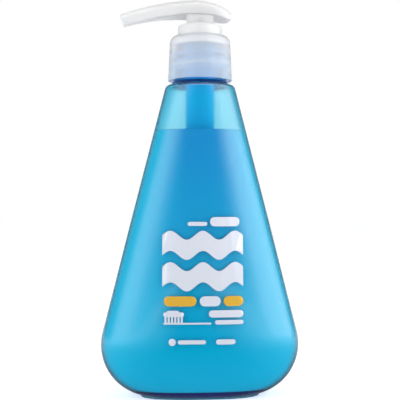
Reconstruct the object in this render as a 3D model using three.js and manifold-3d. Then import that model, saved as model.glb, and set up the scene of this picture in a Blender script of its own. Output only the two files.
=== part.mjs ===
// A gel toothpaste bottle with a screw-on, lock-down pump.
//
// Frame: millimetres, +Z up, the origin at the centre of the foot on the table.
// The front of the bottle faces -Y, and the spout points to -X.
// The pump is drawn locked down: its head stands at the bottom of its stroke.

import * as THREE from "three";
import { mergeVertices } from "three/addons/utils/BufferGeometryUtils.js";
import Module from "manifold-3d";

const wasm = await Module();
wasm.setup();

// Bottle body
const BODY_WIDTH = 86.6;
const BODY_DEPTH = 38;
const BODY_WALL = 0.9;
const BODY_SQUARENESS = 2.5; // exponent of the section's outline, where 2 is an ellipse
const HEEL_RADIUS = 22.4;
const FOOT_WIDTH = 52;
const FOOT_DEPTH = 21;
const FOOT_HEIGHT = 0.8;
const FOOT_RIM = 2.6; // width of the flat ring that touches the table
const FOOT_UNDERCUT = 0.35;
const PUSH_UP_HEIGHT = 2.2;
const FLOOR_WALL = 1.3;
const SHOULDER_WIDTH = 30.2;
const SHOULDER_DEPTH = 29.4;
const SHOULDER_HEIGHT = 135.2;
const SHOULDER_ROUNDING = 2.2;
const SHOULDER_SLOPE = 18; // degrees
const DEPTH_EASE = 1.25; // how late the depth narrows on its way up, where 1 is a straight line

// Neck and its thread
const NECK_BASE_RADIUS = 11.7;
const NECK_BASE_HEIGHT = 2.3;
const NECK_RADIUS = 10.6;
const NECK_BORE_RADIUS = 8.8;
const NECK_HEIGHT = 16.95;
const THREAD_PITCH = 3.175;
const THREAD_CREST_RADIUS = 11.8;
const THREAD_ROOT_WIDTH = 1.9;
const THREAD_CREST_WIDTH = 0.9;
const NECK_THREAD_START = 4.35; // above the neck's base
const NECK_THREAD_TURNS = 3;

// Toothpaste gel
const GEL_LEVEL = 115.7;
const GEL_GAP = 0.3;

// Closure ring
const CLOSURE_FOOT_RADIUS = 14.0;
const CLOSURE_SHOULDER_RADIUS = 13.2;
const CLOSURE_BEVEL = 1.9;
const CLOSURE_TOP_WALL = 1.3;
const CLOSURE_BORE_RADIUS = 12.2;
const CLOSURE_GAP = 1.4; // from the bottle's shoulder
const CLOSURE_THREAD_TURNS = 1.5;
const CLOSURE_THREAD_CLEARANCE = 0.35;

// Pump housing, its gasket and the lock collar
const SEAT_GAP = 0.1;
const SLIDE_GAP = 0.3;
const SNAP_GAP = 0.15;
const GASKET_THICKNESS = 1.2;
const GASKET_RADIUS = 11.2;
const FLANGE_THICKNESS = 1.2;
const FLANGE_RADIUS = 11.3;
const PLUG_DEPTH = 3.2;
const UPSTAND_HEIGHT = 4.8;
const UPSTAND_RADIUS = 8.6;
const UPSTAND_WALL = 1.0;
const BARREL_RADIUS = 6.3;
const BARREL_WALL = 0.9;
const BARREL_LENGTH = 40.6;
const BARREL_CONE_HEIGHT = 3.4;
const SOCKET_RADIUS = 3.5;
const SOCKET_LENGTH = 9.0;
const TUBE_INSERTION = 5.0;
const VENT_RADIUS = 0.6;
const VENT_DROP = 7; // below the flange
const COLLAR_RADIUS = 9.65;
const COLLAR_WALL = 0.9;
const COLLAR_HEIGHT = 4.5;
const COLLAR_ROUNDING = 0.8;
const COLLAR_TUBE_WALL = 0.9;
const COLLAR_FLOOR_WALL = 1.2;
const GUIDE_WALL = 1.0;

// Plunger, spring and inlet valve
const STROKE = 13.5;
const STEM_RADIUS = 3.5;
const STEM_BORE_RADIUS = 1.9;
const SPRING_LOCKED_LENGTH = 8.5;
const SPRING_WIRE = 0.8;
const SPRING_RADIUS = 3.9; // to the middle of the wire
const SPRING_TURNS = 6;
const ROD_RADIUS = 1.2;
const ROD_COLLAR_RADIUS = 4.3;
const ROD_COLLAR_THICKNESS = 1.2;
const ROD_PIN_LENGTH = 3.2;
const ROD_GRIP_LENGTH = 9;
const ROD_FIN_THICKNESS = 0.8;
const PISTON_LENGTH = 6;
const PISTON_SLEEVE_RADIUS = 3.0;
const PISTON_WEB = 1.4;
const PISTON_LIP = 0.7;
const PISTON_SLIP = 1.2;
const BALL_RADIUS = 2.0;
const BALL_LIFT = 1.4;
const BALL_SEAT_BORE = 1.4;
const BALL_SEAT_ANGLE = 35; // degrees from the axis
const BALL_STOP_WIDTH = 1.0;
const TUBE_RADIUS = 2.2;
const TUBE_WALL = 0.6;
const TUBE_FLOOR_GAP = 2.6;
const TUBE_CUT = 2.0; // how far the slanted end is cut back

// Pump head
const HEAD_CLEARANCE = 3.9; // from the lock collar to the middle of the head's underside
const HEAD_HEIGHT = 7.0;
const HEAD_WIDTH = 16.0;
const HEAD_WALL = 1.2;
const HEAD_SQUARENESS = 2.2; // exponent of the top's outline across, where 2 is an ellipse
const HEAD_CROWN_X = -2.3;
const HEAD_REAR_X = 13.9;
const HEAD_REAR_TOP_RADIUS = 26;
const HEAD_REAR_BASE_RADIUS = 60;
const HEAD_REAR_ROUNDING = 1.6; // how far the underside rises at the very rear
const SPOUT_RADIUS = 95;
const SPOUT_ANGLE = 19.6; // degrees of the spout's arc
const NOZZLE_DIAMETER = 5.6;
const CHANNEL_RADIUS = 1.7;
const CHANNEL_WALL = 0.9;
const SKIRT_RADIUS = 5.9;
const SKIRT_WALL = 1.0;
const SOCKET_DEPTH = 5.2; // how far the stem goes into the head, above its underside

// Printed fields on the front
const INK_GAP = 0.12;
const INK_THICKNESS = 0.18;
const PRINT_WIDTH = 34;
const WAVE_BOTTOM = 46.9;
const WAVE_ROW = 13.1;
const WAVE_BAND = 8.4;
const WAVE_SWING = 1.9;
const WAVE_COUNT = 2.5;

// Facets
const ROUND_FACETS = 40;
const PIECE_FACETS = 28;
const SMALL_FACETS = 20;
const OUTSIDE_STEPS = { heel: 8, flank: 6, corner: 4 };
const INSIDE_STEPS = { heel: 6, flank: 4, corner: 2 };

// Values worked out from the sizes above
const radians = THREE.MathUtils.degToRad;
const FULL_TURN = Math.PI * 2;
const foot = { a: FOOT_WIDTH / 2, b: FOOT_DEPTH / 2 };
const belly = { a: BODY_WIDTH / 2, b: BODY_DEPTH / 2 };
const corner = { a: SHOULDER_WIDTH / 2, b: SHOULDER_DEPTH / 2 };
const heelFoot = { a: foot.a - FOOT_UNDERCUT, b: foot.b - FOOT_UNDERCUT };
const heelCentreA = belly.a - HEEL_RADIUS;
const heelCosine = (heelFoot.a - heelCentreA) / HEEL_RADIUS;
const heelCentreZ = FOOT_HEIGHT + HEEL_RADIUS * Math.sqrt(1 - heelCosine ** 2);
const heelDepthRadius = (belly.b - heelFoot.b) / (1 - heelCosine);
const heelCentreB = belly.b - heelDepthRadius;
const heelFootAngle = -Math.acos(heelCosine);
const flankAngle = tangentAngle();
const shoulderAngle = Math.PI / 2 - radians(SHOULDER_SLOPE);
const shoulderCentre = roundingCentre();
const neckBaseZ = SHOULDER_HEIGHT + (corner.a - NECK_BASE_RADIUS) * Math.tan(radians(SHOULDER_SLOPE));
const lipZ = neckBaseZ + NECK_HEIGHT;
const floorZ = PUSH_UP_HEIGHT + FLOOR_WALL;
const threadZ = neckBaseZ + NECK_THREAD_START;

const gasketZ = lipZ + SEAT_GAP;
const flangeZ = gasketZ + GASKET_THICKNESS;
const flangeTopZ = flangeZ + FLANGE_THICKNESS;
const closureCeilingZ = flangeTopZ + SEAT_GAP;
const closureTopZ = closureCeilingZ + CLOSURE_TOP_WALL;
const closureFootZ = neckBaseZ + CLOSURE_GAP;
const closureHoleRadius = UPSTAND_RADIUS + SLIDE_GAP;
const collarZ = closureTopZ + SNAP_GAP;
const collarTopZ = collarZ + COLLAR_HEIGHT;
const plugRadius = NECK_BORE_RADIUS - SLIDE_GAP;
const barrelBore = BARREL_RADIUS - BARREL_WALL;
const barrelFootZ = flangeZ - BARREL_LENGTH;
const socketTopZ = barrelFootZ - BARREL_CONE_HEIGHT;
const socketFootZ = socketTopZ - SOCKET_LENGTH;
const tubeTopZ = socketFootZ + TUBE_INSERTION;
const tubeSocketBore = TUBE_RADIUS + SNAP_GAP;
const tubeFootZ = floorZ + TUBE_FLOOR_GAP;
const seatZ = tubeTopZ + SEAT_GAP + FLANGE_THICKNESS;
const ballChamber = BALL_RADIUS + SLIDE_GAP;
const seatTopZ = seatZ + (ballChamber - BALL_SEAT_BORE) / Math.tan(radians(BALL_SEAT_ANGLE));
const ballZ = seatedBallHeight();
const ballStopZ = ballZ + BALL_RADIUS + BALL_LIFT + SNAP_GAP;
const springSeatZ = barrelFootZ + BARREL_WALL;
const rodCollarZ = springSeatZ + SPRING_LOCKED_LENGTH;
const pistonZ = rodCollarZ + ROD_COLLAR_THICKNESS + SNAP_GAP;
const stemFootZ = pistonZ + PISTON_LENGTH + PISTON_SLIP + SNAP_GAP;

const headBaseZ = collarTopZ + HEAD_CLEARANCE;
const headTopZ = headBaseZ + HEAD_HEIGHT;
const headMiddleZ = (headBaseZ + headTopZ) / 2;
const stemTopZ = headBaseZ + SOCKET_DEPTH - 2 * SNAP_GAP;
const skirtBore = SKIRT_RADIUS - SKIRT_WALL;
const collarBore = SKIRT_RADIUS + SLIDE_GAP + SNAP_GAP;
const collarTubeRadius = UPSTAND_RADIUS - UPSTAND_WALL - SLIDE_GAP;
const collarFloorZ = flangeZ - COLLAR_FLOOR_WALL;
const skirtFootZ = collarFloorZ + COLLAR_FLOOR_WALL + SLIDE_GAP;
const guideBore = STEM_RADIUS + SLIDE_GAP;
const guideFootZ = stemFootZ + STROKE; // where the rising piston stops

// The angle at which the straight flank leaves the round heel on its way to the shoulder's corner.
function tangentAngle() {
  const across = corner.a - heelCentreA;
  const up = SHOULDER_HEIGHT - heelCentreZ;
  return Math.atan2(up, across) - Math.acos(HEEL_RADIUS / Math.hypot(across, up));
}

// The centre of the arc that rounds the corner between the flank and the shoulder.
function roundingCentre() {
  const half = (shoulderAngle - flankAngle) / 2;
  const middle = (shoulderAngle + flankAngle) / 2;
  const reach = SHOULDER_ROUNDING / Math.cos(half);
  return {
    a: corner.a - reach * Math.cos(middle),
    z: SHOULDER_HEIGHT - reach * Math.sin(middle),
  };
}

// The height of the ball's centre when it lies in its conical seat.
function seatedBallHeight() {
  const slope = radians(BALL_SEAT_ANGLE);
  return seatZ + (BALL_RADIUS + SNAP_GAP - BALL_SEAT_BORE * Math.cos(slope)) / Math.sin(slope);
}

// Closed solids

// A closed manifold from a three.js geometry, with faces that collapsed left out.
function solidFrom(geometry) {
  const bare = geometry.index ? geometry.toNonIndexed() : geometry.clone();
  for (const name of Object.keys(bare.attributes)) {
    if (name !== "position") bare.deleteAttribute(name);
  }
  const merged = mergeVertices(bare, 1e-4);
  const corners = [];
  for (let i = 0; i < merged.index.count; i += 3) {
    const [p, q, r] = [0, 1, 2].map((k) => merged.index.getX(i + k));
    if (p !== q && q !== r && r !== p) corners.push(p, q, r);
  }
  return new wasm.Manifold(
    new wasm.Mesh({
      numProp: 3,
      vertProperties: new Float32Array(merged.attributes.position.array),
      triVerts: new Uint32Array(corners),
    }),
  );
}

// The geometry that a three.js mesh takes, from a manifold.
function geometryFrom(solid) {
  const mesh = solid.getMesh();
  const positions = new Float32Array(mesh.numVert * 3);
  for (let i = 0; i < mesh.numVert; i++) {
    const from = i * mesh.numProp;
    positions.set(mesh.vertProperties.subarray(from, from + 3), i * 3);
  }
  const geometry = new THREE.BufferGeometry();
  geometry.setAttribute("position", new THREE.BufferAttribute(positions, 3));
  geometry.setIndex(new THREE.BufferAttribute(new Uint32Array(mesh.triVerts), 1));
  geometry.computeVertexNormals();
  return geometry;
}

// A solid of revolution about Z. The outline is a list of [radius, height], outside upwards first.
function turned(outline, facets = PIECE_FACETS) {
  const points = [...outline, outline[0]].map(([r, z]) => new THREE.Vector2(r, z));
  return solidFrom(new THREE.LatheGeometry(points, facets).rotateX(Math.PI / 2));
}

// A plain round bar between two heights.
function bar(radius, low, high, facets = PIECE_FACETS) {
  const geometry = new THREE.CylinderGeometry(radius, radius, high - low, facets);
  return solidFrom(geometry.rotateX(Math.PI / 2).translate(0, 0, (low + high) / 2));
}

// A solid through a row of rings with equal numbers of points, closed by a flat fan at each end.
function loft(rings) {
  const count = rings[0].length;
  const faces = [];
  for (let i = 0; i + 1 < rings.length; i++) {
    for (let j = 0; j < count; j++) {
      const here = i * count;
      const next = (j + 1) % count;
      faces.push(here + j, here + next, here + count + next);
      faces.push(here + j, here + count + next, here + count + j);
    }
  }
  const last = (rings.length - 1) * count;
  for (let j = 1; j + 1 < count; j++) {
    faces.push(0, j + 1, j);
    faces.push(last, last + j, last + j + 1);
  }
  const geometry = new THREE.BufferGeometry();
  geometry.setAttribute("position", new THREE.Float32BufferAttribute(rings.flat(2), 3));
  geometry.setIndex(faces);
  return solidFrom(geometry);
}

// The body of the bottle

// One level ring of the body: a superellipse of half-width a and half-depth b.
function ring({ a, b, z, n }) {
  return Array.from({ length: ROUND_FACETS }, (_, i) => {
    const angle = (FULL_TURN * i) / ROUND_FACETS;
    const [c, s] = [Math.cos(angle), Math.sin(angle)];
    return [
      a * Math.sign(c) * Math.abs(c) ** (2 / n),
      b * Math.sign(s) * Math.abs(s) ** (2 / n),
      z,
    ];
  });
}

// A level of the round heel. The angle runs from the foot, below zero, to where the flank begins.
function heelLevel(angle, inset) {
  return {
    a: heelCentreA + (HEEL_RADIUS - inset) * Math.cos(angle),
    b: heelCentreB + (heelDepthRadius - inset) * Math.cos(Math.min(angle, 0)) - depthLoss(angle, inset),
    z: heelCentreZ + (HEEL_RADIUS - inset) * Math.sin(angle),
    n: BODY_SQUARENESS,
  };
}

// How much depth is lost above the widest level of the heel.
function depthLoss(angle, inset) {
  if (angle <= 0) return 0;
  return belly.b - flankDepth(heelCentreZ + (HEEL_RADIUS - inset) * Math.sin(angle));
}

// Half the body's depth at a height above the heel's centre.
function flankDepth(z) {
  const share = (z - heelCentreZ) / (SHOULDER_HEIGHT - heelCentreZ);
  return belly.b - (belly.b - corner.b) * Math.max(share, 0) ** DEPTH_EASE;
}

// A level of the straight flank.
function flankLevel(z, inset) {
  const share = (z - heelCentreZ) / (SHOULDER_HEIGHT - heelCentreZ);
  return {
    a: corner.a + (SHOULDER_HEIGHT - z) * Math.tan(flankAngle) - inset / Math.cos(flankAngle),
    b: flankDepth(z) - inset,
    z,
    n: THREE.MathUtils.lerp(BODY_SQUARENESS, 2.15, Math.max(share, 0)),
  };
}

// A level of the rounded corner and of the sloping shoulder above it, from its half-width and height.
function shoulderLevel(a, z, inset) {
  const share = (corner.a - inset - a) / (corner.a - NECK_BASE_RADIUS);
  const b = corner.b - inset - share * (corner.b - NECK_BASE_RADIUS);
  return { a, b, z, n: 2.15 - 0.15 * THREE.MathUtils.clamp(share, 0, 1) };
}

// Levels of the body from the top of its foot to the top of its flank, set in from the outside.
function bodyLevels(inset, steps, lowestAngle = heelFootAngle) {
  const levels = [];
  for (let i = 0; i <= steps.heel; i++) {
    const angle = THREE.MathUtils.lerp(lowestAngle, flankAngle, i / steps.heel);
    levels.push(heelLevel(angle, inset));
  }
  const from = levels.at(-1).z;
  const to = shoulderCentre.z + (SHOULDER_ROUNDING - inset) * Math.sin(flankAngle);
  for (let i = 1; i < steps.flank; i++) {
    levels.push(flankLevel(THREE.MathUtils.lerp(from, to, i / steps.flank), inset));
  }
  return levels;
}

// Levels of the rounded corner, and then the end of the slope at a radius.
function shoulderLevels(inset, steps, endRadius) {
  const levels = [];
  const radius = SHOULDER_ROUNDING - inset;
  for (let i = 0; i <= steps.corner; i++) {
    const angle = THREE.MathUtils.lerp(flankAngle, shoulderAngle, i / steps.corner);
    const a = shoulderCentre.a + radius * Math.cos(angle);
    levels.push(shoulderLevel(a, shoulderCentre.z + radius * Math.sin(angle), inset));
  }
  const end = levels.at(-1);
  const rise = (end.a - endRadius) * Math.tan(radians(SHOULDER_SLOPE));
  levels.push({ a: endRadius, b: endRadius, z: end.z + rise, n: 2 });
  return levels;
}

// A level ring with equal half-width and half-depth.
const circle = (radius, z) => ({ a: radius, b: radius, z, n: 2 });

// The helical ridge of a thread. Its root is sunk into the wall that carries it.
function ridge({ rootRadius, crestRadius, sunk, startZ, turns, startTurn = 0 }) {
  const steps = Math.round((turns * ROUND_FACETS) / 2);
  const runOut = 1 / 9; // of a turn, over which the ridge fades in and out
  const outward = Math.sign(crestRadius - rootRadius);
  const sections = [];
  for (let i = 0; i <= steps; i++) {
    const turn = startTurn + (turns * i) / steps;
    const fromEnd = Math.min(i, steps - i) * (turns / steps);
    const height = THREE.MathUtils.clamp(0.15 + fromEnd / runOut, 0, 1);
    const crest = rootRadius + (crestRadius - rootRadius) * height;
    const buried = rootRadius - outward * sunk;
    const z = startZ + THREAD_PITCH * turn;
    const outline = [
      [buried, -THREAD_ROOT_WIDTH / 2],
      [rootRadius, -THREAD_ROOT_WIDTH / 2],
      [crest, -THREAD_CREST_WIDTH / 2],
      [crest, THREAD_CREST_WIDTH / 2],
      [rootRadius, THREAD_ROOT_WIDTH / 2],
      [buried, THREAD_ROOT_WIDTH / 2],
    ];
    if (outward > 0) outline.reverse();
    const angle = FULL_TURN * turn;
    sections.push(outline.map(([r, h]) => [r * Math.cos(angle), r * Math.sin(angle), z + h]));
  }
  return loft(sections);
}

function bottle() {
  const rimInside = { a: foot.a - FOOT_UNDERCUT - FOOT_RIM, b: foot.b - FOOT_UNDERCUT - FOOT_RIM };
  const dome = (share, height) => ({
    a: rimInside.a * share,
    b: rimInside.b * share,
    z: PUSH_UP_HEIGHT * height,
    n: BODY_SQUARENESS,
  });
  const outside = [
    dome(0.3, 1),
    dome(0.75, 0.7),
    dome(1, 0),
    { ...heelFoot, z: 0, n: BODY_SQUARENESS },
    { ...foot, z: FOOT_HEIGHT * 0.35, n: BODY_SQUARENESS },
    { ...foot, z: FOOT_HEIGHT * 0.8, n: BODY_SQUARENESS },
    ...bodyLevels(0, OUTSIDE_STEPS),
    ...shoulderLevels(0, OUTSIDE_STEPS, NECK_BASE_RADIUS),
    circle(NECK_BASE_RADIUS, neckBaseZ + NECK_BASE_HEIGHT),
    circle(NECK_RADIUS, neckBaseZ + NECK_BASE_HEIGHT + 0.4),
    circle(NECK_RADIUS, lipZ),
  ];
  const insideUpwards = [
    innerFloor(BODY_WALL, 0.3),
    ...bodyLevels(BODY_WALL, INSIDE_STEPS, innerFootAngle(BODY_WALL)),
    ...shoulderLevels(BODY_WALL, INSIDE_STEPS, NECK_BORE_RADIUS),
    circle(NECK_BORE_RADIUS, lipZ),
  ];
  const shell = loft([...outside, ...insideUpwards.reverse()].map(ring));
  const thread = ridge({
    rootRadius: NECK_RADIUS,
    crestRadius: THREAD_CREST_RADIUS,
    sunk: (NECK_RADIUS - NECK_BORE_RADIUS) / 2,
    startZ: threadZ,
    turns: NECK_THREAD_TURNS,
  });
  return shell.add(thread);
}

// The heel's angle at which the inside, set in by some distance, meets the floor's height.
function innerFootAngle(inset) {
  return -Math.asin((heelCentreZ - floorZ - inset + BODY_WALL) / (HEEL_RADIUS - inset));
}

// A ring of the flat floor inside, as a share of the floor's width.
function innerFloor(inset, share) {
  const edge = heelLevel(innerFootAngle(inset), inset);
  return { ...edge, a: edge.a * share, b: edge.b * share };
}

// The gel fills the bottle to its level, around the pump's barrel and dip tube.
function gel() {
  const inset = BODY_WALL + GEL_GAP;
  const levels = bodyLevels(inset, INSIDE_STEPS, innerFootAngle(inset));
  const submerged = levels.filter((level) => level.z < GEL_LEVEL - 1);
  const body = loft([innerFloor(inset, 0.3), ...submerged, flankLevel(GEL_LEVEL, inset)].map(ring));
  const above = GEL_LEVEL + 1;
  const below = tubeFootZ - GEL_GAP;
  const hole = turned([
    [0, below],
    [TUBE_RADIUS + GEL_GAP, below],
    [TUBE_RADIUS + GEL_GAP, socketFootZ - GEL_GAP],
    [SOCKET_RADIUS + GEL_GAP, socketFootZ - GEL_GAP],
    [SOCKET_RADIUS + GEL_GAP, socketTopZ - GEL_GAP],
    [BARREL_RADIUS + GEL_GAP, barrelFootZ - GEL_GAP],
    [BARREL_RADIUS + GEL_GAP, above],
    [0, above],
  ]);
  return body.subtract(hole);
}

function closureRing() {
  const shell = turned(
    [
      [CLOSURE_FOOT_RADIUS, closureFootZ],
      [CLOSURE_SHOULDER_RADIUS, closureTopZ - CLOSURE_BEVEL],
      [CLOSURE_SHOULDER_RADIUS - CLOSURE_BEVEL * 0.4, closureTopZ - CLOSURE_BEVEL * 0.45],
      [CLOSURE_SHOULDER_RADIUS - CLOSURE_BEVEL, closureTopZ],
      [closureHoleRadius, closureTopZ],
      [closureHoleRadius, closureCeilingZ],
      [CLOSURE_BORE_RADIUS, closureCeilingZ],
      [CLOSURE_BORE_RADIUS, closureFootZ + 0.6],
      [CLOSURE_BORE_RADIUS + 0.5, closureFootZ],
    ],
    ROUND_FACETS,
  );
  const thread = ridge({
    rootRadius: CLOSURE_BORE_RADIUS,
    crestRadius: NECK_RADIUS + CLOSURE_THREAD_CLEARANCE,
    sunk: (CLOSURE_SHOULDER_RADIUS - CLOSURE_BORE_RADIUS) / 2,
    startZ: threadZ + THREAD_PITCH / 2,
    turns: CLOSURE_THREAD_TURNS,
  });
  return shell.add(thread);
}

function neckGasket() {
  const bore = plugRadius + SNAP_GAP;
  return turned([
    [GASKET_RADIUS, gasketZ],
    [GASKET_RADIUS, flangeZ],
    [bore, flangeZ],
    [bore, gasketZ],
  ]);
}

// The cylinder that hangs in the neck: flange, plug, barrel, inlet valve seat and tube socket.
function pumpHousing() {
  const plugFootZ = flangeZ - PLUG_DEPTH;
  const throatZ = collarFloorZ - SLIDE_GAP;
  const upstandBore = UPSTAND_RADIUS - UPSTAND_WALL;
  const taper = plugRadius - BARREL_RADIUS;
  const body = turned([
    [tubeSocketBore, socketFootZ],
    [SOCKET_RADIUS, socketFootZ],
    [SOCKET_RADIUS, socketTopZ],
    [BARREL_RADIUS, barrelFootZ],
    [BARREL_RADIUS, plugFootZ - taper],
    [plugRadius, plugFootZ],
    [plugRadius, flangeZ],
    [FLANGE_RADIUS, flangeZ],
    [FLANGE_RADIUS, flangeTopZ],
    [UPSTAND_RADIUS, flangeTopZ],
    [UPSTAND_RADIUS, flangeTopZ + UPSTAND_HEIGHT],
    [upstandBore, flangeTopZ + UPSTAND_HEIGHT],
    [upstandBore, throatZ],
    [barrelBore, throatZ - (upstandBore - barrelBore)],
    [barrelBore, springSeatZ],
    [ballChamber, springSeatZ],
    [ballChamber, seatTopZ],
    [BALL_SEAT_BORE, seatZ],
    [BALL_SEAT_BORE, tubeTopZ + SEAT_GAP],
    [tubeSocketBore, tubeTopZ + SEAT_GAP],
  ]);
  const stops = [0, 1, 2].map((i) => {
    const reach = ballChamber - BALL_RADIUS * 0.7 + BARREL_WALL / 2;
    const block = new THREE.BoxGeometry(reach, BALL_STOP_WIDTH, BALL_STOP_WIDTH);
    block.translate(BALL_RADIUS * 0.7 + reach / 2, 0, ballStopZ + BALL_STOP_WIDTH / 2);
    return solidFrom(block.rotateZ((FULL_TURN * i) / 3));
  });
  const ventLength = BARREL_RADIUS * 2;
  const vent = new THREE.CylinderGeometry(VENT_RADIUS, VENT_RADIUS, ventLength, 8);
  vent.translate(0, ventLength / 2, flangeZ - VENT_DROP);
  return stops.reduce((sum, stop) => sum.add(stop), body).subtract(solidFrom(vent));
}

// The collar that snaps over the housing, guides the stem and locks the head down.
function lockCollar() {
  return turned([
    [COLLAR_RADIUS, collarZ],
    [COLLAR_RADIUS, collarTopZ - COLLAR_ROUNDING],
    [COLLAR_RADIUS - COLLAR_ROUNDING * 0.3, collarTopZ - COLLAR_ROUNDING * 0.3],
    [COLLAR_RADIUS - COLLAR_ROUNDING, collarTopZ],
    [collarBore + 0.3, collarTopZ],
    [collarBore, collarTopZ - 0.3],
    [collarBore, collarFloorZ + COLLAR_FLOOR_WALL],
    [guideBore, collarFloorZ + COLLAR_FLOOR_WALL],
    [guideBore, guideFootZ],
    [guideBore + GUIDE_WALL, guideFootZ],
    [guideBore + GUIDE_WALL, collarFloorZ],
    [collarTubeRadius, collarFloorZ],
    [collarTubeRadius, collarTopZ - COLLAR_WALL],
    [COLLAR_RADIUS - COLLAR_WALL, collarTopZ - COLLAR_WALL],
    [COLLAR_RADIUS - COLLAR_WALL, collarZ],
  ]);
}

function dipTube() {
  const tube = turned(
    [
      [TUBE_RADIUS, tubeFootZ],
      [TUBE_RADIUS, tubeTopZ],
      [TUBE_RADIUS - TUBE_WALL, tubeTopZ],
      [TUBE_RADIUS - TUBE_WALL, tubeFootZ],
    ],
    SMALL_FACETS,
  );
  const side = TUBE_RADIUS * 4;
  const wedge = new THREE.BoxGeometry(side, side, side);
  wedge.translate(0, 0, -side / 2).rotateY(Math.atan(TUBE_CUT / (2 * TUBE_RADIUS)));
  wedge.translate(0, 0, tubeFootZ + TUBE_CUT / 2);
  return tube.subtract(solidFrom(wedge));
}

function inletBall() {
  return solidFrom(new THREE.SphereGeometry(BALL_RADIUS, 16, 10).rotateX(Math.PI / 2).translate(0, 0, ballZ));
}

// The spring's centreline: one closed turn at each end and open turns between.
class SpringLine extends THREE.Curve {
  getPoint(t, target = new THREE.Vector3()) {
    const turn = SPRING_TURNS * t;
    const closedPitch = SPRING_WIRE * 1.05;
    const low = springSeatZ + SEAT_GAP + SPRING_WIRE / 2;
    const high = rodCollarZ - SEAT_GAP - SPRING_WIRE / 2;
    const openPitch = (high - low - 2 * closedPitch) / (SPRING_TURNS - 2);
    const closedBelow = Math.min(turn, 1) * closedPitch;
    const open = THREE.MathUtils.clamp(turn - 1, 0, SPRING_TURNS - 2) * openPitch;
    const closedAbove = Math.max(turn - SPRING_TURNS + 1, 0) * closedPitch;
    const angle = FULL_TURN * turn;
    return target.set(
      SPRING_RADIUS * Math.cos(angle),
      SPRING_RADIUS * Math.sin(angle),
      low + closedBelow + open + closedAbove,
    );
  }
}

function returnSpring() {
  const wire = new THREE.Shape().absarc(0, 0, SPRING_WIRE / 2, 0, FULL_TURN);
  const geometry = new THREE.ExtrudeGeometry(wire, {
    extrudePath: new SpringLine(),
    steps: SPRING_TURNS * 12,
    curveSegments: 3,
    bevelEnabled: false,
  });
  return solidFrom(geometry);
}

// The rod that carries the piston. Its finned top grips the stem's bore and lets the gel pass.
function pistonRod() {
  const gripZ = stemFootZ + ROD_GRIP_LENGTH;
  const shaft = turned(
    [
      [0, rodCollarZ - ROD_PIN_LENGTH],
      [SPRING_RADIUS - SPRING_WIRE / 2 - SLIDE_GAP - 0.8, rodCollarZ - ROD_PIN_LENGTH],
      [SPRING_RADIUS - SPRING_WIRE / 2 - SLIDE_GAP, rodCollarZ - ROD_PIN_LENGTH + 1],
      [SPRING_RADIUS - SPRING_WIRE / 2 - SLIDE_GAP, rodCollarZ],
      [ROD_COLLAR_RADIUS, rodCollarZ],
      [ROD_COLLAR_RADIUS, rodCollarZ + ROD_COLLAR_THICKNESS],
      [ROD_RADIUS, rodCollarZ + ROD_COLLAR_THICKNESS],
      [ROD_RADIUS, gripZ],
      [0, gripZ],
    ],
    SMALL_FACETS,
  );
  const span = 2 * (STEM_BORE_RADIUS - SNAP_GAP);
  const fins = [0, 1].map((i) => {
    const fin = new THREE.BoxGeometry(span, ROD_FIN_THICKNESS, ROD_GRIP_LENGTH);
    fin.translate(0, 0, gripZ - ROD_GRIP_LENGTH / 2);
    return solidFrom(fin.rotateZ((Math.PI * i) / 2));
  });
  return shaft.add(fins[0]).add(fins[1]);
}

// The piston: a sleeve on the rod and two lips that wipe the barrel.
function pistonSeal() {
  const bore = ROD_RADIUS + SLIDE_GAP;
  const lip = barrelBore - SNAP_GAP;
  const top = pistonZ + PISTON_LENGTH;
  const webZ = pistonZ + (PISTON_LENGTH - PISTON_WEB) / 2;
  return turned([
    [PISTON_SLEEVE_RADIUS, pistonZ],
    [PISTON_SLEEVE_RADIUS, webZ],
    [lip - PISTON_LIP - 0.3, webZ],
    [lip - PISTON_LIP, pistonZ + 0.8],
    [lip, pistonZ + 0.8],
    [lip - 0.3, webZ + PISTON_WEB / 2],
    [lip, top - 0.8],
    [lip - PISTON_LIP, top - 0.8],
    [lip - PISTON_LIP - 0.3, webZ + PISTON_WEB],
    [PISTON_SLEEVE_RADIUS, webZ + PISTON_WEB],
    [PISTON_SLEEVE_RADIUS, top],
    [bore, top],
    [bore, pistonZ],
  ]);
}

function stem() {
  return turned([
    [STEM_RADIUS, stemFootZ],
    [STEM_RADIUS, stemTopZ],
    [STEM_BORE_RADIUS, stemTopZ],
    [STEM_BORE_RADIUS, stemFootZ],
  ]);
}

// The pump head

// Half the head's width at some distance behind the nozzle, along X.
function headHalfWidth(x) {
  const nozzle = NOZZLE_DIAMETER / 2;
  const share = THREE.MathUtils.smoothstep(x, HEAD_CROWN_X - SPOUT_RADIUS * 0.29, HEAD_CROWN_X + 4.5);
  return THREE.MathUtils.lerp(nozzle, HEAD_WIDTH / 2, share);
}

// One section of the head. Its upper half is rounded, and its lower half turns from round to straight.
function headSection({ x, z, lean, halfWidth, up, down, topPower, basePower }) {
  const count = 24;
  return Array.from({ length: count }, (_, i) => {
    const angle = (FULL_TURN * i) / count;
    const [c, s] = [Math.cos(angle), Math.sin(angle)];
    const power = 2 / (s >= 0 ? topPower : basePower);
    const y = halfWidth * Math.sign(c) * Math.abs(c) ** power;
    const height = (s >= 0 ? up : down) * Math.sign(s) * Math.abs(s) ** power;
    return [x - height * Math.sin(lean), y, z + height * Math.cos(lean)];
  });
}

// The spout's middle line: an arc from the head's crown, down to the nozzle.
function spoutPoint(angle) {
  return {
    x: HEAD_CROWN_X - SPOUT_RADIUS * Math.sin(angle),
    z: headMiddleZ - SPOUT_RADIUS * (1 - Math.cos(angle)),
  };
}

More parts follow.
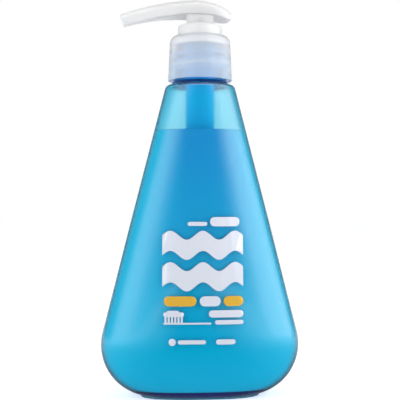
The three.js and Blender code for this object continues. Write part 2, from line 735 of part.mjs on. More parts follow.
// Sections from the nozzle to the rear of the head, set in by the wall for the hollow under it.
function headSections(inset, firstAngle, drop) {
  const sections = [];
  const spoutSteps = 8;
  for (let i = 0; i <= spoutSteps; i++) {
    const angle = THREE.MathUtils.lerp(firstAngle, 0, i / spoutSteps);
    const share = angle / radians(SPOUT_ANGLE);
    const half = THREE.MathUtils.lerp(HEAD_HEIGHT, NOZZLE_DIAMETER, share) / 2;
    const { x, z } = spoutPoint(angle);
    sections.push({
      x,
      z,
      lean: angle,
      halfWidth: headHalfWidth(x) - inset,
      up: half - inset,
      down: half + drop,
      topPower: THREE.MathUtils.lerp(HEAD_SQUARENESS, 2, share),
      basePower: THREE.MathUtils.lerp(9, 2, THREE.MathUtils.smoothstep(share, 0.55, 1)),
    });
  }
  const halfWidth = HEAD_WIDTH / 2;
  const turnX = HEAD_REAR_X - halfWidth;
  const rearStations = [
    [HEAD_CROWN_X + (turnX - HEAD_CROWN_X) * 0.5, 0],
    [turnX, 0],
    ...[25, 45, 62, 75, 85].map((degrees) => [turnX, radians(degrees)]),
  ];
  for (const [x, turn] of rearStations) {
    const sx = x + (halfWidth - inset) * Math.sin(turn);
    const run = sx - HEAD_CROWN_X;
    const top = headTopZ - run ** 2 / (2 * HEAD_REAR_TOP_RADIUS);
    const rounding = HEAD_REAR_ROUNDING * THREE.MathUtils.smoothstep(turn, radians(40), radians(85));
    const base = headBaseZ - run ** 2 / (2 * HEAD_REAR_BASE_RADIUS) + rounding;
    const middle = (top + base) / 2;
    sections.push({
      x: sx,
      z: middle,
      lean: 0,
      halfWidth: turn === 0 ? headHalfWidth(sx) - inset : (halfWidth - inset) * Math.cos(turn),
      up: top - middle - inset,
      down: middle - base + drop,
      topPower: HEAD_SQUARENESS,
      basePower: 9,
    });
  }
  return sections.map(headSection);
}

// A round bar along the spout's middle line, from above the stem to the nozzle, or some way past it.
function alongSpout(radius, past) {
  const steps = 8;
  const count = 16;
  const from = Math.asin(HEAD_CROWN_X / SPOUT_RADIUS);
  const to = radians(SPOUT_ANGLE) + past / SPOUT_RADIUS;
  const rings = [];
  for (let i = 0; i <= steps; i++) {
    const angle = THREE.MathUtils.lerp(to, from, i / steps);
    const { x, z } = spoutPoint(angle);
    rings.push(
      Array.from({ length: count }, (_, j) => {
        const around = (FULL_TURN * j) / count;
        const height = radius * Math.sin(around);
        return [x - height * Math.sin(angle), radius * Math.cos(around), z + height * Math.cos(angle)];
      }),
    );
  }
  return loft(rings);
}

function pumpHead() {
  const nozzle = radians(SPOUT_ANGLE);
  const shell = loft(headSections(0, nozzle, 0));
  const hollow = loft(headSections(HEAD_WALL, nozzle * 0.72, 2));
  const socketZ = headBaseZ + SOCKET_DEPTH;
  const post = bar(SKIRT_RADIUS, headMiddleZ, headTopZ + 1).intersect(shell);
  const skirt = bar(SKIRT_RADIUS, skirtFootZ, headMiddleZ);
  const throat = turned([
    [0, skirtFootZ - 1],
    [skirtBore, skirtFootZ - 1],
    [skirtBore, headBaseZ - 2],
    [STEM_RADIUS + SNAP_GAP, headBaseZ - 1],
    [STEM_RADIUS + SNAP_GAP, socketZ],
    [STEM_BORE_RADIUS, socketZ],
    [STEM_BORE_RADIUS, headMiddleZ],
    [0, headMiddleZ],
  ]);
  return shell
    .subtract(hollow)
    .add(alongSpout(CHANNEL_RADIUS + CHANNEL_WALL, 0))
    .add(post)
    .add(skirt)
    .subtract(throat)
    .subtract(alongSpout(CHANNEL_RADIUS, 2));
}

// The print

// A thin shell that lies just off the body, from which the printed fields are cut.
function inkShell() {
  const levelsAt = (offset) => bodyLevels(-offset, OUTSIDE_STEPS).map(ring);
  return loft(levelsAt(INK_GAP + INK_THICKNESS)).subtract(loft(levelsAt(INK_GAP)));
}

// A flat shape on the front, pushed back through the body.
function pressed(shape) {
  const geometry = new THREE.ExtrudeGeometry(shape, {
    depth: BODY_DEPTH,
    bevelEnabled: false,
    curveSegments: 5,
  });
  return solidFrom(geometry.rotateX(Math.PI / 2));
}

// A bar with round ends, from its left end, its middle height and its size.
function pill(left, middle, width, height) {
  const r = height / 2;
  const shape = new THREE.Shape();
  shape.moveTo(left + r, middle - r);
  shape.lineTo(left + width - r, middle - r);
  shape.absarc(left + width - r, middle, r, -Math.PI / 2, Math.PI / 2);
  shape.lineTo(left + r, middle + r);
  shape.absarc(left + r, middle, r, Math.PI / 2, Math.PI * 1.5);
  return shape;
}

// A wide band whose two long edges swing together.
function wave(middle, phase) {
  const steps = 30;
  const edge = (side, i) => {
    const x = -PRINT_WIDTH / 2 + (PRINT_WIDTH * i) / steps;
    const swing = WAVE_SWING * Math.sin((FULL_TURN * WAVE_COUNT * i) / steps + phase);
    return [x, middle + swing + (side * WAVE_BAND) / 2];
  };
  const shape = new THREE.Shape();
  shape.moveTo(...edge(-1, 0));
  for (let i = 1; i <= steps; i++) shape.lineTo(...edge(-1, i));
  for (let i = steps; i >= 0; i--) shape.lineTo(...edge(1, i));
  return shape;
}

// A small brush with a wavy line of paste on its tufts and a long handle.
function brushMark(left, bottom) {
  const head = { width: 8.6, height: 3.4, base: 0.7, tufts: 6, tuft: 0.85 };
  const handle = 20;
  const strokes = [pill(left, bottom + head.base / 2, handle, head.base)];
  for (let i = 0; i < head.tufts; i++) {
    const x = left + 0.5 + ((head.width - 1 - head.tuft) * i) / (head.tufts - 1);
    const tuft = new THREE.Shape();
    tuft.moveTo(x, bottom + head.base / 2);
    tuft.lineTo(x + head.tuft, bottom + head.base / 2);
    tuft.lineTo(x + head.tuft, bottom + head.base + head.height);
    tuft.lineTo(x, bottom + head.base + head.height);
    strokes.push(tuft);
  }
  strokes.push(pill(left, bottom + head.base + head.height, head.width, 1.9));
  strokes.push(pill(left + 1.4, bottom + head.base + head.height + 0.9, head.width * 0.6, 1.5));
  return strokes;
}

// Printed fields as [name, colour, shapes]; the shapes of one field touch each other.
function printedFields() {
  const left = -PRINT_WIDTH / 2;
  const right = PRINT_WIDTH / 2;
  const lineZ = WAVE_BOTTOM - 3.7;
  const smallZ = lineZ - 10;
  const lastZ = smallZ - 7;
  return [
    ["print_top_line", "white", [pill(-6.4, WAVE_BOTTOM + 2 * WAVE_ROW + 2.4, 8.2, 1.7)]],
    ["print_top_drop", "white", [pill(3.0, WAVE_BOTTOM + 2 * WAVE_ROW + 3.3, 12.6, 3.9)]],
    ["print_wave_upper", "white", [wave(WAVE_BOTTOM + 1.5 * WAVE_ROW, 0)]],
    ["print_wave_lower", "white", [wave(WAVE_BOTTOM + 0.5 * WAVE_ROW, 0)]],
    ["print_amber_left", "amber", [pill(left + 0.6, lineZ, 13.6, 4.2)]],
    ["print_line_middle", "white", [pill(left + 15.6, lineZ, 8.8, 4.2)]],
    ["print_amber_right", "amber", [pill(right - 8.4, lineZ, 8.4, 4.2)]],
    ["print_side_line_upper", "white", [pill(right - 14.6, smallZ + 4.7, 14.6, 3.0)]],
    ["print_side_line_lower", "white", [pill(right - 12.0, smallZ + 1.2, 12.0, 1.8)]],
    ["print_brush", "white", brushMark(left + 0.4, smallZ + 0.4)],
    ["print_dot", "white", [pill(left + 2.6, lastZ, 3.0, 3.0)]],
    ["print_base_line_left", "white", [pill(left + 6.4, lastZ, 11.8, 1.7)]],
    ["print_base_line_right", "white", [pill(right - 11.6, lastZ, 8.2, 2.1)]],
  ];
}

// Assembly
const colours = {
  bottle: { color: 0x1c9fd6, roughness: 0.12, metalness: 0, transparent: true, opacity: 0.7 },
  gel: { color: 0x2fb0d8, roughness: 0.3, metalness: 0 },
  milky: { color: 0xe9eaee, roughness: 0.35, metalness: 0 },
  foam: { color: 0xf4f4f2, roughness: 0.8, metalness: 0 },
  steel: { color: 0xc4c8cc, roughness: 0.25, metalness: 1 },
  white: { color: 0xdfe6f0, roughness: 0.4, metalness: 0 },
  amber: { color: 0xd9a52c, roughness: 0.4, metalness: 0 },
};

const part = new THREE.Group();

function addPiece(name, colour, solid) {
  const mesh = new THREE.Mesh(geometryFrom(solid), new THREE.MeshStandardMaterial(colours[colour]));
  mesh.name = name;
  part.add(mesh);
}

addPiece("bottle", "bottle", bottle());
addPiece("toothpaste_gel", "gel", gel());
addPiece("closure_ring", "milky", closureRing());
addPiece("neck_gasket", "foam", neckGasket());
addPiece("pump_housing", "milky", pumpHousing());
addPiece("lock_collar", "milky", lockCollar());
addPiece("dip_tube", "milky", dipTube());
addPiece("inlet_ball", "steel", inletBall());
addPiece("return_spring", "steel", returnSpring());
addPiece("piston_rod", "milky", pistonRod());
addPiece("piston_seal", "milky", pistonSeal());
addPiece("stem", "milky", stem());
addPiece("pump_head", "milky", pumpHead());

const ink = inkShell();
for (const [name, colour, shapes] of printedFields()) {
  const field = shapes.map(pressed).reduce((sum, shape) => sum.add(shape));
  addPiece(name, colour, field.intersect(ink));
}

export default part;
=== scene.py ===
"""A bottle of blue gel toothpaste with a lock-down pump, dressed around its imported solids."""

import logging
import math
from collections.abc import Sequence
from dataclasses import dataclass, field
from enum import Enum
from typing import Any, NamedTuple

import bmesh
import bpy
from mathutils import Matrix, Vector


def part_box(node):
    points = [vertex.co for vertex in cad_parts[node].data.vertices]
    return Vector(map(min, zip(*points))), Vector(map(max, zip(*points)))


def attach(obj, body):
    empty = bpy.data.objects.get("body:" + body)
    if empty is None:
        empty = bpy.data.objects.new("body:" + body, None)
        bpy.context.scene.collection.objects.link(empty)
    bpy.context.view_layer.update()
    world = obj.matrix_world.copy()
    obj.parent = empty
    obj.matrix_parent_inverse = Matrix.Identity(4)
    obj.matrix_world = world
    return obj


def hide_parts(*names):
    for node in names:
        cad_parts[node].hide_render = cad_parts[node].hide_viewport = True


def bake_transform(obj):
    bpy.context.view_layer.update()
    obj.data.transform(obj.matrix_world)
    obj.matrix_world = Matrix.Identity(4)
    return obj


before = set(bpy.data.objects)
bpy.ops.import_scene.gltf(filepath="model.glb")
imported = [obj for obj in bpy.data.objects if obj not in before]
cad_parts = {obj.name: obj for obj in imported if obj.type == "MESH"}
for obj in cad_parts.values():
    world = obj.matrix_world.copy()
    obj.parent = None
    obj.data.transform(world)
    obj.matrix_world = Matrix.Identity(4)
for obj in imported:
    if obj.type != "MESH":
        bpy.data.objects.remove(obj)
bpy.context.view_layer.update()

LOG = logging.getLogger("pump_bottle")
MM = 0.001
FULL_TURN = 2 * math.pi
Point = tuple[float, float, float]
Ring = list[Point]
Shape = tuple[list[Point], list[tuple[int, ...]]]
Corner = tuple[float, float]
Socket = bpy.types.NodeSocket
Material = bpy.types.Material
WHITE = (1.0, 1.0, 1.0, 1.0)
WELD = 0.00001
SLIVER = 0.000001


class Slot(str, Enum):
    """Material slots of the record."""

    BLUE = "blue_plastic"
    GEL = "gel"
    MILKY = "milky_plastic"
    FOAM = "foam"
    STEEL = "steel"
    WHITE_INK = "ink_white"
    AMBER_INK = "ink_amber"


class Body(str, Enum):
    """Moving bodies of the record."""

    BOTTLE = "bottle"
    PUMP = "pump"
    CLOSURE = "closure"
    PLUNGER = "plunger"
    HEAD = "head"
    PISTON = "piston"
    BALL = "valve_ball"


class Number:
    """A number socket in a node tree, used in plain Python expressions."""

    def __init__(self, tree: bpy.types.NodeTree, socket: Socket) -> None:
        """Wraps a socket.

        Args:
            tree: The tree that holds the socket.
            socket: The output socket with the number.
        """
        self.tree = tree
        self.socket = socket

    def _math(self, operation: str, *terms: "Number | float") -> "Number":
        """Adds one Math node.

        Args:
            operation: The node's operation.
            terms: Its inputs, as numbers or wrapped sockets.

        Returns:
            The node's result.
        """
        node = self.tree.nodes.new("ShaderNodeMath")
        node.operation = operation
        for socket, term in zip(node.inputs, terms):
            if isinstance(term, Number):
                self.tree.links.new(term.socket, socket)
            else:
                socket.default_value = term
        return Number(self.tree, node.outputs[0])

    def __add__(self, other: "Number | float") -> "Number":
        """Adds."""
        return self._math("ADD", self, other)

    __radd__ = __add__

    def __sub__(self, other: "Number | float") -> "Number":
        """Subtracts."""
        return self._math("SUBTRACT", self, other)

    def __rsub__(self, other: float) -> "Number":
        """Subtracts from a plain number."""
        return self._math("SUBTRACT", other, self)

    def __mul__(self, other: "Number | float") -> "Number":
        """Multiplies."""
        return self._math("MULTIPLY", self, other)

    __rmul__ = __mul__

    def __truediv__(self, other: "Number | float") -> "Number":
        """Divides."""
        return self._math("DIVIDE", self, other)

    def lesser(self, other: "Number | float") -> "Number":
        """Takes the lesser of two numbers."""
        return self._math("MINIMUM", self, other)

    def greater(self, other: "Number | float") -> "Number":
        """Takes the greater of two numbers."""
        return self._math("MAXIMUM", self, other)

    def size(self) -> "Number":
        """Takes the size without the sign."""
        return self._math("ABSOLUTE", self)

    def cosine(self) -> "Number":
        """Takes the cosine."""
        return self._math("COSINE", self)

    def sine(self) -> "Number":
        """Takes the sine."""
        return self._math("SINE", self)

    def smooth(self) -> "Number":
        """Eases a number from 0 to 1 in and out."""
        return self * self * (3.0 - 2.0 * self)

    def between(self, low: float, high: float) -> "Number":
        """Rises from 0 at low to 1 at high, and stays within 0 and 1."""
        return ((self - low) / (high - low)).greater(0.0).lesser(1.0)


class Tree:
    """A node tree under construction."""

    def __init__(self, tree: bpy.types.NodeTree) -> None:
        """Starts on an empty tree.

        Args:
            tree: The tree, whose nodes are removed.
        """
        self.tree = tree
        tree.nodes.clear()

    def node(
        self,
        kind: str,
        settings: dict[str, Any] | None = None,
        values: dict[Any, Any] | None = None,
    ) -> bpy.types.Node:
        """Adds a node with its settings and its inputs.

        Args:
            kind: The node's type name.
            settings: Attributes of the node, which are set first.
            values: Inputs by name or index, as plain values, sockets or wrapped numbers.

        Returns:
            The new node.
        """
        node = self.tree.nodes.new(kind)
        for name, value in (settings or {}).items():
            setattr(node, name, value)
        for name, value in (values or {}).items():
            self.feed(node.inputs[name], value)
        return node

    def feed(self, socket: Socket, value: Any) -> None:
        """Gives an input its value or its link.

        Args:
            socket: The input.
            value: A plain value, an output socket or a wrapped number.
        """
        if isinstance(value, Number):
            self.tree.links.new(value.socket, socket)
        elif isinstance(value, Socket):
            self.tree.links.new(value, socket)
        else:
            socket.default_value = value

    def number(self, socket: Socket) -> Number:
        """Wraps an output for use in expressions."""
        return Number(self.tree, socket)


class ShaderTree(Tree):
    """The node tree of a material."""

    def __init__(self, name: str) -> None:
        """Makes a material with an empty tree.

        Args:
            name: The material's name.
        """
        self.material = bpy.data.materials.new(name)
        self.material.use_nodes = True
        super().__init__(self.material.node_tree)

    def position(self) -> Socket:
        """Gives the place on the piece, in metres."""
        return self.node("ShaderNodeTexCoord").outputs["Object"]

    def height(self) -> Number:
        """Gives the height above the table, in millimetres."""
        split = self.node("ShaderNodeSeparateXYZ", values={0: self.position()})
        return self.number(split.outputs["Z"]) * (1 / MM)

    def noise(self, scale: float, detail: float = 2.0, stretch: Point = (1.0, 1.0, 1.0)) -> Number:
        """Gives smooth noise from 0 to 1.

        Args:
            scale: Waves per metre.
            detail: Octaves of finer noise.
            stretch: How much the noise is squeezed along each axis.

        Returns:
            The noise as a number.
        """
        mapping = self.node("ShaderNodeMapping", values={"Vector": self.position(), "Scale": stretch})
        texture = self.node(
            "ShaderNodeTexNoise",
            values={"Vector": mapping.outputs[0], "Scale": scale, "Detail": detail},
        )
        return self.number(texture.outputs["Fac"])

    def blend_colours(
        self, share: Number | float, low: Point | Socket, high: Point | Socket
    ) -> Socket:
        """Mixes two colours.

        Args:
            share: 0 for the low colour and 1 for the high one.
            low: The first colour.
            high: The second colour.

        Returns:
            The mixed colour's socket.
        """
        first, second = (c if isinstance(c, Socket) else (*c, 1.0) for c in (low, high))
        node = self.node("ShaderNodeMix", {"data_type": "RGBA"}, {0: share, 6: first, 7: second})
        return node.outputs[2]

    def principled(self, values: dict[str, Any]) -> Socket:
        """Adds the surface shader that every finish is made with."""
        return self.node("ShaderNodeBsdfPrincipled", values=values).outputs[0]

    def glow(self, strength: Number) -> Socket:
        """Adds a white light of some strength."""
        light = self.node("ShaderNodeEmission", values={"Color": WHITE, "Strength": strength})
        return light.outputs[0]

    def bump(self, height: Number, distance: float) -> Socket:
        """Turns a height into a bumped normal.

        Args:
            height: The height as a share of the distance.
            distance: The full height in metres.

        Returns:
            The normal's socket.
        """
        node = self.node(
            "ShaderNodeBump", values={"Strength": 1.0, "Distance": distance, "Height": height}
        )
        return node.outputs[0]

    def lit_through(self, surface: Socket, tint: Point) -> Socket:
        """Lets the light of lamps and of lit surfaces through a surface.

        Args:
            surface: What the surface looks like.
            tint: The share of light that passes.

        Returns:
            The shader to use for the surface.
        """
        clear = self.node("ShaderNodeBsdfTransparent", values={"Color": (*tint, 1.0)})
        light = self.node("ShaderNodeLightPath").outputs
        passing = self.number(light["Is Shadow Ray"]).greater(self.number(light["Is Diffuse Ray"]))
        mixed = self.node("ShaderNodeMixShader", values={0: passing, 1: surface, 2: clear.outputs[0]})
        return mixed.outputs[0]

    def finish(self, surface: Socket, volume: Socket | None = None) -> None:
        """Links the material's output.

        Args:
            surface: The surface shader.
            volume: What fills the piece, if anything.
        """
        output = self.node("ShaderNodeOutputMaterial", values={"Surface": surface})
        if volume is not None:
            self.feed(output.inputs["Volume"], volume)


@dataclass(frozen=True)
class ClearBlue:
    """Translucent blue blown plastic, tinted through its thickness."""

    name: str = "clear_blue_plastic"
    passed: Point = (0.15, 0.805, 0.93)
    density: float = 1050.0
    roughness: float = 0.2
    refraction: float = 1.34
    shadow_tint: Point = (0.72, 0.95, 0.99)
    gloss: float = 0.4
    gloss_roughness: float = 0.06
    ripple: float = 0.00006
    ripple_scale: float = 55.0
    ripple_stretch: Point = (1.0, 1.0, 0.45)

    def material(self) -> Material:
        """Builds the material.

        Returns:
            The material.
        """
        tree = ShaderTree(self.name)
        wave = tree.noise(self.ripple_scale, 1.0, self.ripple_stretch)
        glass = tree.principled(
            {
                "Base Color": WHITE,
                "Roughness": self.roughness,
                "IOR": self.refraction,
                "Transmission Weight": 1.0,
                "Coat Weight": self.gloss,
                "Coat Roughness": self.gloss_roughness,
                "Normal": tree.bump(wave, self.ripple),
            }
        )
        tint = {"Color": (*self.passed, 1.0), "Density": self.density}
        filling = tree.node("ShaderNodeVolumeAbsorption", values=tint)
        tree.finish(tree.lit_through(glass, self.shadow_tint), filling.outputs[0])
        return tree.material


@dataclass(frozen=True)
class ThickBlue:
    """The same blue plastic where it is thick, as in the neck's thread ridge."""

    name: str = "thick_blue_plastic"
    colour: Point = (0.16, 0.47, 0.78)
    clearness: float = 0.45
    refraction: float = 1.34
    light_passed: Point = (0.6, 0.88, 0.96)
    roughness: float = 0.16
    roughness_spread: float = 0.06
    grain_scale: float = 400.0
    ripple: float = 0.00002
    ripple_scale: float = 300.0

    def material(self) -> Material:
        """Builds the material.

        Returns:
            The material.
        """
        tree = ShaderTree(self.name)
        plastic = tree.principled(
            {
                "Base Color": (*self.colour, 1.0),
                "Roughness": tree.noise(self.grain_scale) * self.roughness_spread + self.roughness,
                "IOR": self.refraction,
                "Transmission Weight": self.clearness,
                "Normal": tree.bump(tree.noise(self.ripple_scale, 1.0), self.ripple),
            }
        )
        tree.finish(tree.lit_through(plastic, self.light_passed))
        return tree.material


@dataclass(frozen=True)
class BlueGel:
    """Translucent blue gel, painted lighter and greener lower down as if lit up from the floor, and
    painted with a highlight at its thin left and right sides.
    """

    name: str = "blue_gel"
    top: Point = (0.002, 0.42, 0.7)
    # Painted light: the gel's colour lower down, lightened as if lit up from the floor.
    painted_floor_lit_colour: Point = (0.004, 0.74, 0.8)
    # Painted highlight: the colour of the gel's left and right sides.
    side: Point = (0.03, 0.8, 0.86)
    low: float = 20.0
    high: float = 110.0
    half_width: float = 49.0
    lean: float = 0.255
    painted_side_light_from: float = 0.25
    roughness: float = 0.13
    roughness_spread: float = 0.06
    grain_scale: float = 120.0
    refraction: float = 1.4
    shine: float = 0.7
    cloud_scale: float = 35.0
    cloud_stretch: Point = (1.0, 1.0, 0.3)
    cloud_share: float = 0.12
    ripple: float = 0.0001
    ripple_scale: float = 70.0

    def material(self) -> Material:
        """Builds the material.

        Returns:
            The material.
        """
        tree = ShaderTree(self.name)
        cloud = (tree.noise(self.cloud_scale, 2.0, self.cloud_stretch) - 0.5) * self.cloud_share
        # Painted light: with height, the colour eases from the lit lower colour to the top colour, with
        # a little random cloud.
        share = (tree.height().between(self.low, self.high) + cloud).greater(0.0).lesser(1.0)
        deep = tree.blend_colours(share, self.painted_floor_lit_colour, self.top)
        # Painted highlight: towards the gel's left and right edges, the colour turns to the side colour.
        split = tree.node("ShaderNodeSeparateXYZ", values={0: tree.position()})
        across = tree.number(split.outputs["X"]).size() * (1 / MM)
        reach = across / (self.half_width - tree.height() * self.lean)
        thin = reach.between(self.painted_side_light_from, 1.0).smooth()
        gel = tree.principled(
            {
                "Base Color": tree.blend_colours(thin, deep, self.side),
                "Roughness": tree.noise(self.grain_scale) * self.roughness_spread + self.roughness,
                "IOR": self.refraction,
                "Specular IOR Level": self.shine,
                "Normal": tree.bump(tree.noise(self.ripple_scale, 1.0), self.ripple),
            }
        )
        tree.finish(gel)
        return tree.material


@dataclass(frozen=True)
class MilkyPlastic:
    """Natural, slightly see-through moulded plastic."""

    name: str
    colour: Point = (0.86, 0.865, 0.885)
    roughness: float = 0.36
    roughness_spread: float = 0.08
    glow: float = 0.7
    glow_depths: Point = (0.007, 0.007, 0.0078)
    clearness: float = 0.0
    refraction: float = 1.49
    # Painted blue light from the neck showing through the lower part; none leaves it plain.
    painted_neck_blue: Point | None = None
    painted_neck_blue_heights: tuple[float, float] = (139.0, 154.0)
    light_passed: Point | None = None
    # Below this height the colour turns a saturated blue; none leaves it plain.
    blue_below: float | None = None
    blue_fade: float = 1.5
    low_blue_colour: Point = (0.003, 0.67, 0.95)
    cloud_scale: float = 160.0
    cloud_paleness: float = 1.03
    grain_scale: float = 900.0
    ripple: float = 0.000006
    ripple_scale: float = 2200.0

    def material(self) -> Material:
        """Builds the material.

        Returns:
            The material.
        """
        tree = ShaderTree(self.name)
        pale = tuple(c * self.cloud_paleness for c in self.colour)
        colour = tree.blend_colours(tree.noise(self.cloud_scale, 3.0), self.colour, pale)
        # Painted light: the neck's blue shows through low down and fades out further up.
        if self.painted_neck_blue is not None:
            up = tree.height().between(*self.painted_neck_blue_heights)
            colour = tree.blend_colours(up, self.painted_neck_blue, colour)
        # A saturated blue below a height, easing into the plain colour above it.
        if self.blue_below is not None:
            above_blue = tree.height().between(self.blue_below, self.blue_below + self.blue_fade)
            colour = tree.blend_colours(above_blue, self.low_blue_colour, colour)
        surface = tree.principled(
            {
                "Base Color": colour,
                "Roughness": tree.noise(self.grain_scale) * self.roughness_spread + self.roughness,
                "IOR": self.refraction,
                "Transmission Weight": self.clearness,
                "Subsurface Weight": self.glow,
                "Subsurface Radius": self.glow_depths,
                "Subsurface Scale": 1.0,
                "Normal": tree.bump(tree.noise(self.ripple_scale), self.ripple),
            }
        )
        if self.light_passed is not None:
            surface = tree.lit_through(surface, self.light_passed)
        tree.finish(surface)
        return tree.material


@dataclass(frozen=True)
class Ink:
    """Screen-printed ink with a fine metallic grain."""

    name: str
    colour: Point
    metallic: float = 0.15
    roughness: float = 0.42
    roughness_spread: float = 0.12
    grain_scale: float = 2600.0
    grain_darkness: float = 0.93
    ripple: float = 0.000008
    ripple_scale: float = 1500.0

    def material(self) -> Material:
        """Builds the material.

        Returns:
            The material.
        """
        tree = ShaderTree(self.name)
        grain = tree.noise(self.grain_scale)
        dark = tuple(c * self.grain_darkness for c in self.colour)
        ink = tree.principled(
            {
                "Base Color": tree.blend_colours(grain, dark, self.colour),
                "Metallic": self.metallic,
                "Roughness": grain * self.roughness_spread + self.roughness,
                "Normal": tree.bump(tree.noise(self.ripple_scale, 1.0), self.ripple),
            }
        )
        tree.finish(ink)
        return tree.material


@dataclass(frozen=True)
class Steel:
    """Bright drawn steel with fine lines."""

    name: str = "bright_steel"
    colour: Point = (0.62, 0.63, 0.65)
    roughness: float = 0.16
    roughness_spread: float = 0.12
    line_scale: float = 1800.0
    line_stretch: Point = (1.0, 1.0, 0.1)

    def material(self) -> Material:
        """Builds the material.

        Returns:
            The material.
        """
        tree = ShaderTree(self.name)
        lines = tree.noise(self.line_scale, 2.0, self.line_stretch)
        steel = tree.principled(
            {
                "Base Color": (*self.colour, 1.0),
                "Metallic": 1.0,
                "Roughness": lines * self.roughness_spread + self.roughness,
            }
        )
        tree.finish(steel)
        return tree.material


@dataclass(frozen=True)
class Foam:
    """White closed-cell foam."""

    name: str = "white_foam"
    colour: Point = (0.85, 0.85, 0.83)
    roughness: float = 0.85
    cell_scale: float = 2200.0
    cell_depth: float = 0.00006

    def material(self) -> Material:
        """Builds the material.

        Returns:
            The material.
        """
        tree = ShaderTree(self.name)
        layout = {"Vector": tree.position(), "Scale": self.cell_scale}
        cells = tree.node("ShaderNodeTexVoronoi", values=layout)
        depth = tree.number(cells.outputs["Distance"])
        foam = tree.principled(
            {
                "Base Color": (*self.colour, 1.0),
                "Roughness": self.roughness,
                "Normal": tree.bump(depth, self.cell_depth),
            }
        )
        tree.finish(foam)
        return tree.material


class Finishes:
    """All materials of the object, each made once."""

    def __init__(self) -> None:
        """Makes the materials."""
        self.bottle = ClearBlue().material()
        self.ridge = ThickBlue().material()
        # Painted shade: the neck root's near-black blue draws the dark line at the foot of the neck.
        self.root = ThickBlue("root_blue_with_painted_shade", (0.004, 0.035, 0.15), 0.2).material()
        self.gel = BlueGel().material()
        self.head = MilkyPlastic("milky_head", glow=0.6, light_passed=(0.86, 0.86, 0.87)).material()
        self.closure = MilkyPlastic(
            "milky_closure",
            roughness=0.27,
            clearness=0.66,
            refraction=1.22,
            glow=0.0,
            light_passed=(0.94, 0.96, 0.98),
            # Painted blue light from the bottle's neck, on the closure's lower part.
            painted_neck_blue=(0.72, 0.83, 0.935),
        ).material()
        # The housing is a saturated blue below 146 mm.
        self.housing = MilkyPlastic("milky_housing", glow=0.15, blue_below=146.0).material()
        self.steel = Steel().material()
        self.foam = Foam().material()
        self.white_ink = Ink("silver_white_ink", (0.69, 0.73, 0.82)).material()
        self.amber_ink = Ink("amber_ink", (0.72, 0.42, 0.035)).material()


class Level(NamedTuple):
    """One level ring of the bottle, in millimetres: half-width, half-depth, height and squareness."""

    a: float
    b: float
    z: float
    n: float = 2.0


def mix(low: float, high: float, share: float) -> float:
    """Goes from low to high as share goes from 0 to 1."""
    return low + (high - low) * share


def ring_points(level: Level, count: int) -> Ring:
    """Lays points around a superellipse.

    Args:
        level: The ring's sizes.
        count: The number of points.

    Returns:
        The points in metres.
    """
    points = []
    for i in range(count):
        angle = FULL_TURN * i / count
        c, s = math.cos(angle), math.sin(angle)
        x = level.a * math.copysign(abs(c) ** (2 / level.n), c)
        y = level.b * math.copysign(abs(s) ** (2 / level.n), s)
        points.append((x * MM, y * MM, level.z * MM))
    return points


def skin(rings: Sequence[Ring], looped: bool = False) -> Shape:
    """Joins rings with equal numbers of points into one closed surface.

    Args:
        rings: The rings in order, seen anticlockwise from the side they run towards.
        looped: Whether the last ring joins the first; otherwise each end gets a cap.

    Returns:
        The points and the faces.
    """
    count = len(rings[0])
    points = [p for ring in rings for p in ring]
    faces: list[tuple[int, ...]] = []
    spans = len(rings) if looped else len(rings) - 1
    for i in range(spans):
        low, high = i * count, ((i + 1) % len(rings)) * count
        for j in range(count):
            k = (j + 1) % count
            faces.append((low + j, low + k, high + k, high + j))
    if not looped:
        last = (len(rings) - 1) * count
        faces.append(tuple(range(count - 1, -1, -1)))
        faces.append(tuple(range(last, last + count)))
    return points, faces


def lathe(profile: Sequence[Corner], count: int) -> Shape:
    """Turns a closed outline about the upright axis.

    Args:
        profile: Radius and height in millimetres, up the outside first.
        count: Points around.

    Returns:
        The points and the faces.
    """
    return skin([ring_points(Level(r, r, z), count) for r, z in profile], looped=True)


def rounded(profile: Sequence[Point], steps: int = 4) -> list[Corner]:
    """Rounds the corners of a closed outline.

    Args:
        profile: Radius, height and rounding of each corner.
        steps: Points in each rounding.

    Returns:
        The outline with its corners rounded.
    """
    out: list[Corner] = []
    for i, (*here, radius) in enumerate(profile):
        before = profile[i - 1]
        after = profile[(i + 1) % len(profile)]
        start = toward(here, before, radius)
        end = toward(here, after, radius)
        for k in range(steps + 1):
            t = k / steps
            weights = ((1 - t) ** 2, 2 * t * (1 - t), t * t)
            r, z = (sum(w * p[i] for w, p in zip(weights, (start, here, end))) for i in (0, 1))
            out.append((r, z))
    return out


def toward(here: Sequence[float], there: Sequence[float], distance: float) -> Corner:
    """Goes some distance from one outline corner towards the next, at most half the way."""
    dr, dz = there[0] - here[0], there[1] - here[1]
    length = math.hypot(dr, dz)
    share = min(distance / length, 0.5)
    return here[0] + dr * share, here[1] + dz * share


def piece(name: str, shape: Shape, material: Material, sharp: float = 40.0) -> bpy.types.Object:
    """Makes an object from points and faces.

    Args:
        name: The object's name.
        shape: Its points and faces.
        material: Its material.
        sharp: The angle in degrees past which an edge stays sharp.

    Returns:
        The object, linked to the scene.
    """
    mesh = bpy.data.meshes.new(name)
    mesh.from_pydata(shape[0], [], shape[1])
    return dressed(name, mesh, material, sharp)


def dressed(name: str, mesh: bpy.types.Mesh, material: Material, sharp: float) -> bpy.types.Object:
    """Gives a mesh its shading, material and object.

    Args:
        name: The object's name.
        mesh: The mesh.
        material: Its material.
        sharp: The angle in degrees past which an edge stays sharp.

    Returns:
        The object, linked to the scene.
    """
    mesh.validate()
    mesh.materials.clear()
    mesh.materials.append(material)
    mesh.polygons.foreach_set("use_smooth", [True] * len(mesh.polygons))
    mesh.set_sharp_from_angle(angle=math.radians(sharp))
    mesh.update()
    made = bpy.data.objects.new(name, mesh)
    bpy.context.scene.collection.objects.link(made)
    return made


